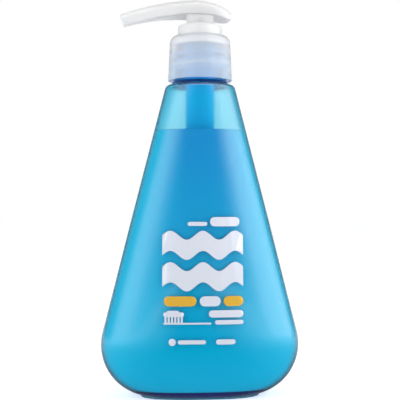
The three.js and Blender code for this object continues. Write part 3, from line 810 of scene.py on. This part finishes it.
def settle(made: bpy.types.Object, body: Body, slot: Slot, *nodes: str) -> None:
    """Puts a finished piece on its body.

    Args:
        made: The piece.
        body: The body it moves with.
        slot: The record's material slot for the piece; not used.
        nodes: The solids it stands for.
    """
    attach(made, body.value)
    if nodes:
        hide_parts(*nodes)
    LOG.info("%s: %d faces on %s", made.name, len(made.data.polygons), body.value)


def welded_copy(node: str, name: str, material: Material, sharp: float = 35.0) -> bpy.types.Object:
    """Makes a smooth piece from a solid.

    Args:
        node: The solid's name.
        name: The new piece's name.
        material: Its material.
        sharp: The angle in degrees past which an edge stays sharp.

    Returns:
        The piece, linked to the scene.
    """
    work = bmesh.new()
    work.from_mesh(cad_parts[node].data)
    bmesh.ops.remove_doubles(work, verts=work.verts, dist=WELD)
    bmesh.ops.dissolve_degenerate(work, edges=work.edges, dist=SLIVER)
    mesh = bpy.data.meshes.new(name)
    work.to_mesh(mesh)
    work.free()
    return dressed(name, mesh, material, sharp)


def top_of(node: str) -> float:
    """Gives a solid's highest point in millimetres."""
    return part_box(node)[1].z / MM


def foot_of(node: str) -> float:
    """Gives a solid's lowest point in millimetres."""
    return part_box(node)[0].z / MM


def soften(made: bpy.types.Object, width: float, angle: float = 38.0) -> None:
    """Rounds the sharp edges of a moulded piece.

    Args:
        made: The piece.
        width: How far the rounding reaches from the edge, in millimetres.
        angle: The least angle between two faces, in degrees, whose edge is rounded.
    """
    bevel = made.modifiers.new("soft_edges", "BEVEL")
    bevel.width = width * MM
    bevel.segments = 2
    bevel.limit_method = "ANGLE"
    bevel.angle_limit = math.radians(angle)
    bevel.use_clamp_overlap = True
    bevel.harden_normals = True


@dataclass
class HelixTree:
    """A Geometry Nodes tree that sweeps a round wire along a helix with faded or closed ends."""

    name: str
    wire_points: int = 10
    least_fade: float = 0.001
    end_thickness: float = 0.35

    def build(self) -> bpy.types.NodeTree:
        """Builds the tree.

        Returns:
            The tree, with named inputs for its sizes.
        """
        group = bpy.data.node_groups.new(self.name, "GeometryNodeTree")
        make = Tree(group)
        ends = ("Radius", "Turns", "Low", "High")
        kinds = dict.fromkeys(ends, "NodeSocketFloat")
        details = ("Closed pitch", "Closed turns", "Wire radius", "Fade")
        kinds |= dict.fromkeys(details, "NodeSocketFloat")
        kinds |= {"Points": "NodeSocketInt", "Material": "NodeSocketMaterial"}
        for title, kind in kinds.items():
            group.interface.new_socket(title, in_out="INPUT", socket_type=kind)
        group.interface.new_socket("Geometry", in_out="OUTPUT", socket_type="NodeSocketGeometry")
        sizes = make.node("NodeGroupInput").outputs
        number = {s.name: make.number(s) for s in sizes if s.type == "VALUE"}
        line = make.node("GeometryNodeCurvePrimitiveLine")
        dense = make.node(
            "GeometryNodeResampleCurve", values={"Curve": line.outputs[0], "Count": sizes["Points"]}
        )
        factor = make.number(make.node("GeometryNodeSplineParameter").outputs["Factor"])
        turn = factor * number["Turns"]
        closed = number["Closed turns"]
        open_turns = number["Turns"] - closed * 2.0
        closed_rise = closed * number["Closed pitch"]
        open_rise = number["High"] - number["Low"] - closed_rise * 2.0
        below = turn.lesser(closed) * number["Closed pitch"]
        middle = (turn - closed).greater(0.0).lesser(open_turns) / open_turns * open_rise
        above = (turn - closed - open_turns).greater(0.0) * number["Closed pitch"]
        height = number["Low"] + below + middle + above
        angle = turn * FULL_TURN
        place = make.node(
            "ShaderNodeCombineXYZ",
            values={
                "X": angle.cosine() * number["Radius"],
                "Y": angle.sine() * number["Radius"],
                "Z": height,
            },
        )
        curve = make.node(
            "GeometryNodeSetPosition",
            values={"Geometry": dense.outputs[0], "Position": place.outputs[0]},
        )
        from_end = turn.lesser(number["Turns"] - turn)
        fade = number["Fade"].greater(self.least_fade)
        scale = (from_end / fade + self.end_thickness).lesser(1.0)
        wire = make.node(
            "GeometryNodeCurvePrimitiveCircle",
            values={"Resolution": self.wire_points, "Radius": sizes["Wire radius"]},
        )
        swept = make.node(
            "GeometryNodeCurveToMesh",
            values={
                "Curve": curve.outputs[0],
                "Profile Curve": wire.outputs[0],
                "Scale": scale,
                "Fill Caps": True,
            },
        )
        real = make.node("GeometryNodeRealizeInstances", values={"Geometry": swept.outputs[0]})
        coated = make.node(
            "GeometryNodeSetMaterial",
            values={"Geometry": real.outputs[0], "Material": sizes["Material"]},
        )
        make.node("NodeGroupOutput", values={"Geometry": coated.outputs[0]})
        return group


@dataclass(frozen=True)
class Helix:
    """A wire that winds up the upright axis, in millimetres."""

    radius: float
    turns: float
    low: float
    high: float
    wire_radius: float
    material: Material
    steps_per_turn: int = 40
    closed_pitch: float = 0.0
    closed_turns: float = 0.0
    fade: float = 0.0

    def inputs(self) -> dict[str, Any]:
        """Gives the helix tree's inputs.

        Returns:
            The inputs by name, with lengths in metres.
        """
        return {
            "Radius": self.radius * MM,
            "Turns": self.turns,
            "Low": self.low * MM,
            "High": self.high * MM,
            "Closed pitch": self.closed_pitch * MM,
            "Closed turns": self.closed_turns,
            "Wire radius": self.wire_radius * MM,
            "Fade": self.fade,
            "Points": round(self.turns * self.steps_per_turn) + 1,
            "Material": self.material,
        }


@dataclass(frozen=True)
class Thread:
    """A screw thread's ridge, in millimetres. Its side is -1 outside a neck and 1 inside a cap."""

    crest: float
    side: int
    start: float
    turns: float
    pitch: float = 3.175
    wire: float = 0.9
    fade: float = 0.12

    def helix(self, foot: float, material: Material) -> Helix:
        """Lays the ridge out.

        Args:
            foot: The height that the thread's start is counted from.
            material: The ridge's material.

        Returns:
            The helix that the ridge is swept along.
        """
        low = foot + self.start
        high = low + self.turns * self.pitch
        middle = self.crest + self.side * self.wire
        return Helix(middle, self.turns, low, high, self.wire, material, fade=self.fade)


def swept_helix(name: str, tree: bpy.types.NodeTree, helix: Helix) -> bpy.types.Object:
    """Evaluates the helix tree into a plain mesh.

    Args:
        name: The new piece's name.
        tree: The helix tree.
        helix: The helix's sizes and material.

    Returns:
        The piece, linked to the scene.
    """
    sizes = helix.inputs()
    carrier = bpy.data.objects.new(name + "_carrier", bpy.data.meshes.new(name + "_carrier"))
    bpy.context.scene.collection.objects.link(carrier)
    modifier = carrier.modifiers.new("helix", "NODES")
    modifier.node_group = tree
    for item in tree.interface.items_tree:
        if item.in_out == "INPUT":
            modifier[item.identifier] = sizes[item.name]
    carrier.update_tag()
    evaluated = carrier.evaluated_get(bpy.context.evaluated_depsgraph_get())
    mesh = bpy.data.meshes.new_from_object(evaluated)
    mesh.name = name
    carrier.modifiers.remove(modifier)
    bpy.data.objects.remove(carrier)
    work = bmesh.new()
    work.from_mesh(mesh)
    bmesh.ops.remove_doubles(work, verts=work.verts, dist=SLIVER)
    bmesh.ops.recalc_face_normals(work, faces=work.faces)
    work.to_mesh(mesh)
    work.free()
    return dressed(name, mesh, helix.material, 50.0)


@dataclass
class BottleForm:
    """The bottle's outline, in millimetres, as its solid has it."""

    width: float = 86.6
    depth: float = 38.0
    squareness: float = 2.5
    top_squareness: float = 2.15
    heel_radius: float = 22.4
    foot_width: float = 52.0
    foot_depth: float = 21.0
    foot_height: float = 0.8
    foot_rim: float = 2.6
    undercut: float = 0.35
    push_up: float = 2.2
    floor_wall: float = 1.3
    wall: float = 0.9
    shoulder_width: float = 30.2
    shoulder_depth: float = 29.4
    shoulder_height: float = 135.2
    shoulder_rounding: float = 2.2
    shoulder_slope: float = 18.0
    depth_ease: float = 1.25
    neck_base_radius: float = 11.7
    neck_base_height: float = 2.3
    neck_radius: float = 10.6
    neck_bore: float = 8.8
    neck_height: float = 16.95
    neck_edge: float = 0.3
    neck_fillet: float = 0.4
    neck_fillet_foot: Corner = (0.2, 0.15)
    corner_easing: float = 0.15
    steps: int = 22

    def __post_init__(self) -> None:
        """Works out the centres of the heel and of the shoulder's rounding."""
        self.heel_a = self.width / 2 - self.heel_radius
        foot_a = self.foot_width / 2 - self.undercut
        foot_b = self.foot_depth / 2 - self.undercut
        cosine = (foot_a - self.heel_a) / self.heel_radius
        self.heel_z = self.foot_height + self.heel_radius * math.sqrt(1 - cosine**2)
        self.heel_depth_radius = (self.depth / 2 - foot_b) / (1 - cosine)
        self.heel_b = self.depth / 2 - self.heel_depth_radius
        self.foot_angle = -math.acos(cosine)
        across = self.shoulder_width / 2 - self.heel_a
        up = self.shoulder_height - self.heel_z
        self.flank_angle = math.atan2(up, across) - math.acos(self.heel_radius / math.hypot(across, up))
        self.slope_angle = math.pi / 2 - math.radians(self.shoulder_slope)
        half = (self.slope_angle - self.flank_angle) / 2
        middle = (self.slope_angle + self.flank_angle) / 2
        reach = self.shoulder_rounding / math.cos(half)
        self.corner_a = self.shoulder_width / 2 - reach * math.cos(middle)
        self.corner_z = self.shoulder_height - reach * math.sin(middle)
        ledge = self.shoulder_width / 2 - self.neck_base_radius
        self.neck_z = self.shoulder_height + ledge * math.tan(math.radians(self.shoulder_slope))

    def _share(self, z: float) -> float:
        """Gives how far up the flank a height is, from 0 at the widest level."""
        return max((z - self.heel_z) / (self.shoulder_height - self.heel_z), 0.0)

    def half_depth(self, z: float) -> float:
        """Gives half the depth at a height above the widest level."""
        return mix(self.depth / 2, self.shoulder_depth / 2, self._share(z) ** self.depth_ease)

    def heel(self, angle: float, inset: float) -> Level:
        """Gives a level of the round heel.

        Args:
            angle: The angle on the heel's arc, below zero under the widest level.
            inset: The distance in from the outside.

        Returns:
            The level.
        """
        radius = self.heel_radius - inset
        z = self.heel_z + radius * math.sin(angle)
        b = self.heel_b + (self.heel_depth_radius - inset) * math.cos(min(angle, 0.0))
        if angle > 0:
            b -= self.depth / 2 - self.half_depth(z)
        return Level(self.heel_a + radius * math.cos(angle), b, z, self.squareness)

    def flank(self, z: float, inset: float) -> Level:
        """Gives a level of the straight flank at a height, set in by some distance."""
        lean = math.tan(self.flank_angle)
        outside = self.shoulder_width / 2 + (self.shoulder_height - z) * lean
        a = outside - inset / math.cos(self.flank_angle)
        n = mix(self.squareness, self.top_squareness, self._share(z))
        return Level(a, self.half_depth(z) - inset, z, n)

    def body(self, inset: float, lowest: float) -> list[Level]:
        """Gives the levels from the heel's lowest angle to the top of the flank.

        Args:
            inset: The distance in from the outside.
            lowest: The lowest angle on the heel's arc.

        Returns:
            The levels, upwards.
        """
        count = self.steps
        angles = [mix(lowest, self.flank_angle, i / count) for i in range(count + 1)]
        heel = [self.heel(angle, inset) for angle in angles]
        top = self.corner_z + (self.shoulder_rounding - inset) * math.sin(self.flank_angle)
        heights = [mix(heel[-1].z, top, i / count) for i in range(1, count)]
        return heel + [self.flank(z, inset) for z in heights]

    def shoulder(self, inset: float, end_radius: float, steps: int = 8) -> list[Level]:
        """Gives the levels of the shoulder's rounded corner and slope.

        Args:
            inset: The distance in from the outside.
            end_radius: The radius at which the slope meets the neck.
            steps: Levels on the rounded corner.

        Returns:
            The levels, upwards.
        """
        levels = []
        radius = self.shoulder_rounding - inset
        ledge = self.shoulder_width / 2 - self.neck_base_radius
        narrow = self.shoulder_depth / 2 - self.neck_base_radius
        for i in range(steps + 1):
            angle = mix(self.flank_angle, self.slope_angle, i / steps)
            a = self.corner_a + radius * math.cos(angle)
            share = (self.shoulder_width / 2 - inset - a) / ledge
            b = self.shoulder_depth / 2 - inset - share * narrow
            z = self.corner_z + radius * math.sin(angle)
            n = self.top_squareness - self.corner_easing * min(max(share, 0.0), 1.0)
            levels.append(Level(a, b, z, n))
        end = levels[-1]
        rise = (end.a - end_radius) * math.tan(math.radians(self.shoulder_slope))
        for share in (0.5, 1.0):
            a, b = mix(end.a, end_radius, share), mix(end.b, end_radius, share)
            levels.append(Level(a, b, end.z + rise * share, mix(end.n, 2.0, share)))
        return levels

    def inner_angle(self, inset: float) -> float:
        """Gives the heel's angle at which the inside meets the floor."""
        floor = self.push_up + self.floor_wall
        return -math.asin((self.heel_z - floor - inset + self.wall) / (self.heel_radius - inset))

    def floor(self, inset: float, share: float) -> Level:
        """Gives a ring of the flat floor inside, as a share of the floor's width."""
        edge = self.heel(self.inner_angle(inset), inset)
        return edge._replace(a=edge.a * share, b=edge.b * share)


@dataclass
class Bottle:
    """The blown bottle with its neck thread, and the gel in it."""

    form: BottleForm = field(default_factory=BottleForm)
    points: int = 128
    floor_shares: tuple[float, ...] = (0.3, 0.6, 0.85)
    floor_middle: float = 0.05
    gel_middle: float = 0.12
    inside_steps: int = 4
    gel_gap: float = 0.3
    gel_level: float = 115.7
    gel_edge: float = 0.6
    gel_edge_drop: float = 0.35
    gel_edge_inset: float = 0.25
    cling_width: float = 1.2
    cling_dip: float = 0.05
    cling_rise: float = 0.25
    barrel_gap: float = 0.3
    barrel_radius: float = 6.3
    barrel_cone: float = 3.4
    socket_radius: float = 3.5
    socket_length: float = 9.0
    thread: Thread = Thread(11.8, -1, 4.35, 3.0)
    root_outline: tuple[Corner, ...] = (
        (-0.2, -0.1),
        (1.0, -0.45),
        (1.05, -0.31),
        (0.45, 0.2),
        (0.12, 0.8),
        (-0.2, 0.85),
    )

    def build(self, looks: Finishes, helix: bpy.types.NodeTree) -> None:
        """Builds and places the bottle's pieces.

        Args:
            looks: The materials.
            helix: The tree that sweeps the thread.
        """
        wall = piece("bottle_wall", self._wall(), looks.bottle, 50.0)
        settle(wall, Body.BOTTLE, Slot.BLUE, "bottle")
        ridge = self.thread.helix(self.form.neck_z, looks.ridge)
        settle(swept_helix("neck_thread", helix, ridge), Body.BOTTLE, Slot.BLUE)
        settle(piece("neck_root", self._root(), looks.root, 60.0), Body.BOTTLE, Slot.BLUE)
        gel = piece("gel_filling", self._gel(), looks.gel, 50.0)
        settle(gel, Body.BOTTLE, Slot.GEL, "toothpaste_gel")

    def _rings(self, levels: Sequence[Level]) -> list[Ring]:
        """Lays points on each level."""
        return [ring_points(level, self.points) for level in levels]

    def _wall(self) -> Shape:
        """Makes the blown wall, up the outside and down the inside."""
        f = self.form
        rim_a = f.foot_width / 2 - f.undercut - f.foot_rim
        rim_b = f.foot_depth / 2 - f.undercut - f.foot_rim
        foot_a, foot_b = f.foot_width / 2, f.foot_depth / 2
        n = f.squareness
        # The push-up's rings, as shares of the rim's width and of the push-up's height.
        dome = [(0.06, 1.0), (0.3, 1.0), (0.55, 0.9), (0.75, 0.7), (0.9, 0.35), (1.0, 0.0)]
        # The foot's rings, as distances out from the foot's width, and heights.
        foot = [(-f.undercut, 0.0), (-0.12, 0.06), (0.0, 0.3), (0.0, 0.5), (-0.1, 0.68)]
        lip_z = f.neck_z + f.neck_height
        base_z = f.neck_z + f.neck_base_height
        outside = [Level(rim_a * s, rim_b * s, f.push_up * h, n) for s, h in dome]
        outside += [Level(foot_a + d, foot_b + d, z, n) for d, z in foot]
        outside += f.body(0.0, f.foot_angle)
        outside += f.shoulder(0.0, f.neck_base_radius)
        edge = f.neck_edge
        neck = [
            (f.neck_base_radius, base_z - edge),
            (f.neck_base_radius - edge, base_z),
            (f.neck_radius + f.neck_fillet_foot[0], base_z + f.neck_fillet_foot[1]),
            (f.neck_radius, base_z + f.neck_fillet),
            (f.neck_radius, lip_z - edge),
            (f.neck_radius - edge, lip_z),
            (f.neck_bore + edge, lip_z),
            (f.neck_bore, lip_z - edge),
        ]
        outside += [Level(r, r, z) for r, z in neck]
        inside = [f.floor(f.wall, s) for s in (self.floor_middle, *self.floor_shares)]
        inside += f.body(f.wall, f.inner_angle(f.wall))
        inside += f.shoulder(f.wall, f.neck_bore, self.inside_steps)
        return skin(self._rings(outside + inside[::-1]))

    def _root(self) -> Shape:
        """Makes the fillet at the neck's root, where the plastic is thickest; its near-black colour adds
        painted shade to the thick plastic's deep blue.
        """
        r, z = self.form.neck_base_radius, self.form.neck_z
        return lathe([(r + out, z + up) for out, up in self.root_outline], self.points)

    def _gel(self) -> Shape:
        """Makes the gel: its outside, its level top and the hole around the pump."""
        f = self.form
        inset = f.wall + self.gel_gap
        levels = [v for v in f.body(inset, f.inner_angle(inset)) if v.z < self.gel_level - self.gel_edge]
        top = f.flank(self.gel_level, inset)
        barrel_r = self.barrel_radius + self.barrel_gap
        socket_r = self.socket_radius + self.barrel_gap
        tube_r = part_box("dip_tube")[1].x / MM + self.barrel_gap
        socket_z = foot_of("pump_housing") - self.barrel_gap
        barrel_z = socket_z + self.socket_length
        outside = [f.floor(inset, s) for s in (self.gel_middle, *self.floor_shares)] + levels
        outside.append(f.flank(self.gel_level - self.gel_edge_drop, inset))
        outside.append(top._replace(a=top.a - self.gel_edge_inset, b=top.b - self.gel_edge_inset))
        hole = [
            (barrel_r + self.cling_width, self.gel_level - self.cling_dip),
            (barrel_r, self.gel_level + self.cling_rise),
            (barrel_r, barrel_z + self.barrel_cone),
            (socket_r, barrel_z),
            (socket_r, socket_z),
            (tube_r, socket_z),
            (tube_r, foot_of("dip_tube") - self.barrel_gap),
        ]
        return skin(self._rings(outside + [Level(r, r, z) for r, z in hole]))


@dataclass
class Closure:
    """The screw closure with its inside thread."""

    foot_radius: float = 14.0
    shoulder_radius: float = 13.2
    bevel: float = 1.9
    top_wall: float = 1.3
    bore: float = 12.2
    hole: float = 8.9
    foot_chamfer: float = 0.6
    foot_flare: float = 0.5
    points: int = 128
    thread: Thread = Thread(10.95, 1, 4.6, 1.5)

    def build(self, looks: Finishes, helix: bpy.types.NodeTree) -> None:
        """Builds and places the closure.

        Args:
            looks: The materials.
            helix: The tree that sweeps the thread.
        """
        low, high = foot_of("closure_ring"), top_of("closure_ring")
        ceiling = high - self.top_wall
        profile = rounded(
            [
                (self.foot_radius, low, 0.25),
                (self.shoulder_radius, high - self.bevel, 1.0),
                (self.shoulder_radius - self.bevel * 0.4, high - self.bevel * 0.45, 0.8),
                (self.shoulder_radius - self.bevel, high, 0.9),
                (self.hole, high, 0.2),
                (self.hole, ceiling, 0.1),
                (self.bore, ceiling, 0.4),
                (self.bore, low + self.foot_chamfer, 0.2),
                (self.bore + self.foot_flare, low, 0.2),
            ]
        )
        ring = piece("closure_cap", lathe(profile, self.points), looks.closure)
        settle(ring, Body.CLOSURE, Slot.MILKY, "closure_ring")
        ridge = self.thread.helix(low, looks.closure)
        settle(swept_helix("closure_thread", helix, ridge), Body.CLOSURE, Slot.MILKY)


@dataclass
class PumpEngine:
    """The pump's collar, housing, valve, spring and piston."""

    spring_turns: float = 6.0
    spring_radius: float = 3.9
    spring_wire: float = 0.8
    spring_steps: int = 36
    closed_turns: float = 1.0
    closed_spacing: float = 1.05

    def build(self, looks: Finishes, helix: bpy.types.NodeTree) -> None:
        """Builds and places the pump's inner pieces and its collar.

        Args:
            looks: The materials.
            helix: The tree that sweeps the spring.
        """
        copies = (
            ("pump_housing", "pump_barrel", looks.housing, Body.PUMP, Slot.MILKY),
            ("neck_gasket", "foam_gasket", looks.foam, Body.PUMP, Slot.FOAM),
            ("dip_tube", "suction_tube", looks.head, Body.PUMP, Slot.MILKY),
            ("inlet_ball", "steel_ball", looks.steel, Body.BALL, Slot.STEEL),
            ("piston_rod", "plunger_rod", looks.head, Body.PLUNGER, Slot.MILKY),
            ("piston_seal", "piston_lips", looks.head, Body.PISTON, Slot.MILKY),
            ("stem", "hollow_stem", looks.head, Body.HEAD, Slot.MILKY),
            ("lock_collar", "lock_collar_moulding", looks.head, Body.PUMP, Slot.MILKY),
        )
        for node, name, material, body, slot in copies:
            settle(welded_copy(node, name, material), body, slot, node)
        self._spring(looks, helix)

    def _spring(self, looks: Finishes, helix: bpy.types.NodeTree) -> None:
        """Sweeps the return spring, which stretches between the housing and the plunger."""
        half = self.spring_wire / 2
        low, high = foot_of("return_spring") + half, top_of("return_spring") - half
        wound = Helix(
            self.spring_radius,
            self.spring_turns,
            low,
            high,
            half,
            looks.steel,
            self.spring_steps,
            self.spring_wire * self.closed_spacing,
            self.closed_turns,
        )
        spring = swept_helix("steel_spring", helix, wound)
        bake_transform(spring)
        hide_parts("return_spring")
        LOG.info("%s: %d faces", spring.name, len(spring.data.polygons))


@dataclass
class PumpHead:
    """The pump's head with its drooping spout."""

    edge: float = 0.3
    sharp: float = 32.0

    def build(self, looks: Finishes) -> None:
        """Builds and places the head.

        Args:
            looks: The materials.
        """
        head = welded_copy("pump_head", "spout_head", looks.head, self.sharp)
        soften(head, self.edge)
        settle(head, Body.HEAD, Slot.MILKY, "pump_head")


@dataclass
class Print:
    """The printed fields, each a thin smooth film of ink."""

    prefix: str = "print_"
    amber: tuple[str, ...] = ("print_amber_left", "print_amber_right")

    def dress(self, looks: Finishes) -> None:
        """Gives each field its ink.

        Args:
            looks: The materials.
        """
        for name in sorted(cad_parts):
            if not name.startswith(self.prefix):
                continue
            amber = name in self.amber
            film = welded_copy(name, name + "_film", looks.amber_ink if amber else looks.white_ink)
            settle(film, Body.BOTTLE, Slot.AMBER_INK if amber else Slot.WHITE_INK, name)


@dataclass
class Studio:
    """The camera, the white surround, the floor and two tall soft lights."""

    distance: float = 0.363
    eye_height: float = 0.0855
    azimuth: float = -4.0
    lens: float = 74.25
    ambient: float = 0.5
    front_mirror: float = 0.03
    back_mirror: float = 0.15
    side_mirrors: tuple[float, float] = (3.0, 4.6)
    side_lights: tuple[float, float] = (2.1, 2.6)
    lamp_azimuth: float = 68.0
    lamp_width: float = 0.62
    lamp_height: float = 0.8
    lamp_reach: float = 0.75
    lamp_rise: float = 0.36
    lamp_tilt: float = 76.0
    band_start: tuple[float, float] = (-0.97, -0.6)
    band_end: tuple[float, float] = (-0.3, 0.35)
    band_skew: float = 0.15
    side_ease: tuple[float, float] = (-0.3, 0.3)
    back_ease: tuple[float, float] = (-0.6, 0.6)
    floor_reach: float = 3.0
    floor_colour: Point = (0.78, 0.785, 0.79)
    floor_front: tuple[float, float] = (-0.1, 0.25)
    floor_beside: tuple[float, float] = (0.03, 0.4)
    floor_back_mirror: float = 0.8
    floor_white: float = 0.6
    floor_bounce: float = 0.45
    floor_sheen: float = 2.2

    def build(self) -> None:
        """Sets up everything around the object."""
        self._camera()
        self._world()
        self._floor()
        for side, strength in zip((-1, 1), self.side_lights):
            self._soft_light(side, strength)
        bpy.context.scene.view_settings.view_transform = "Standard"

    def _camera(self) -> None:
        """Places the camera level with the middle of the bottle."""
        data = bpy.data.cameras.new("camera")
        data.lens = self.lens
        data.sensor_width = 36.0
        data.clip_start = 0.01
        data.clip_end = 50.0
        camera = bpy.data.objects.new("camera", data)
        turn = math.radians(self.azimuth)
        across, back = self.distance * math.sin(turn), -self.distance * math.cos(turn)
        camera.location = (across, back, self.eye_height)
        camera.rotation_euler = (math.pi / 2, 0.0, turn)
        bpy.context.scene.collection.objects.link(camera)
        bpy.context.scene.camera = camera

    def _world(self) -> None:
        """Makes the white surround, which is dimmer in front, where the camera stands."""
        world = bpy.data.worlds.new("studio")
        world.use_nodes = True
        bpy.context.scene.world = world
        tree = Tree(world.node_tree)
        light = tree.node("ShaderNodeLightPath").outputs
        through = tree.number(light["Is Transmission Ray"])
        seen = (tree.number(light["Is Camera Ray"]) + through).lesser(1.0)
        mirrored = tree.number(light["Is Glossy Ray"])
        towards = tree.node("ShaderNodeTexCoord").outputs["Generated"]
        split = tree.node("ShaderNodeSeparateXYZ", values={0: towards})
        side = tree.number(split.outputs["X"])
        back = tree.number(split.outputs["Y"])
        fall = 1.0 - (back - side * self.band_skew).between(*self.band_end)
        band = (back.between(*self.band_start) * fall).smooth()
        left, right = self.side_mirrors
        bright = side.between(*self.side_ease) * (right - left) + left
        rise = self.back_mirror - self.front_mirror
        plain = back.between(*self.back_ease) * rise + self.front_mirror
        mirror = band * bright + plain
        strength = seen + (1.0 - seen) * (mirrored * mirror + (1.0 - mirrored) * self.ambient)
        shine = tree.node("ShaderNodeBackground", values={"Color": WHITE, "Strength": strength})
        tree.node("ShaderNodeOutputWorld", values={"Surface": shine.outputs[0]})

    def _floor(self) -> None:
        """Makes the pale floor, which keeps the bottle's soft shadow."""
        size = self.floor_reach
        corners = [(-size, -size, 0.0), (size, -size, 0.0), (size, size, 0.0), (-size, size, 0.0)]
        tree = ShaderTree("pale_floor")
        light = tree.node("ShaderNodeLightPath").outputs
        seen = tree.number(light["Is Camera Ray"]).greater(tree.number(light["Is Transmission Ray"]))
        split = tree.node("ShaderNodeSeparateXYZ", values={0: tree.position()})
        glow = seen * self.floor_white + tree.number(light["Is Diffuse Ray"]) * self.floor_bounce
        in_front = 1.0 - tree.number(split.outputs["Y"]).between(*self.floor_front)
        beside = tree.number(split.outputs["X"]).size().between(*self.floor_beside)
        before = in_front * (beside * self.floor_sheen + self.front_mirror)
        mirror = before + (1.0 - in_front) * self.floor_back_mirror
        matt = tree.node("ShaderNodeBsdfDiffuse", values={"Color": (*self.floor_colour, 1.0)})
        both = tree.node("ShaderNodeAddShader", values={0: matt.outputs[0], 1: tree.glow(glow)})
        ends = {0: light["Is Glossy Ray"], 1: both.outputs[0], 2: tree.glow(mirror)}
        carded = tree.node("ShaderNodeMixShader", values=ends)
        tree.finish(carded.outputs[0])
        piece("floor", (corners, [(0, 1, 2, 3)]), tree.material)

    def _soft_light(self, side: int, strength: float) -> None:
        """Places one tall soft light.

        Args:
            side: -1 for the left and 1 for the right.
            strength: How bright its face is.
        """
        data = bpy.data.lights.new(f"soft_light_{side}", "AREA")
        data.shape = "RECTANGLE"
        data.size = self.lamp_width
        data.size_y = self.lamp_height
        data.energy = strength * math.pi * data.size * data.size_y
        lamp = bpy.data.objects.new(data.name, data)
        turn = math.radians(self.lamp_azimuth * side)
        across, back = self.lamp_reach * math.sin(turn), -self.lamp_reach * math.cos(turn)
        lamp.location = (across, back, self.lamp_rise)
        lamp.rotation_euler = (math.radians(self.lamp_tilt), 0.0, turn)
        lamp.visible_glossy = False
        lamp.visible_transmission = False
        bpy.context.scene.collection.objects.link(lamp)


def main() -> None:
    """Builds the whole scene."""
    logging.basicConfig(level=logging.INFO, format="%(name)s: %(message)s")
    Studio().build()
    looks = Finishes()
    helix = HelixTree("helix").build()
    Bottle().build(looks, helix)
    Closure().build(looks, helix)
    PumpEngine().build(looks, helix)
    PumpHead().build(looks)
    Print().dress(looks)


if __name__ == "__main__":
    main()
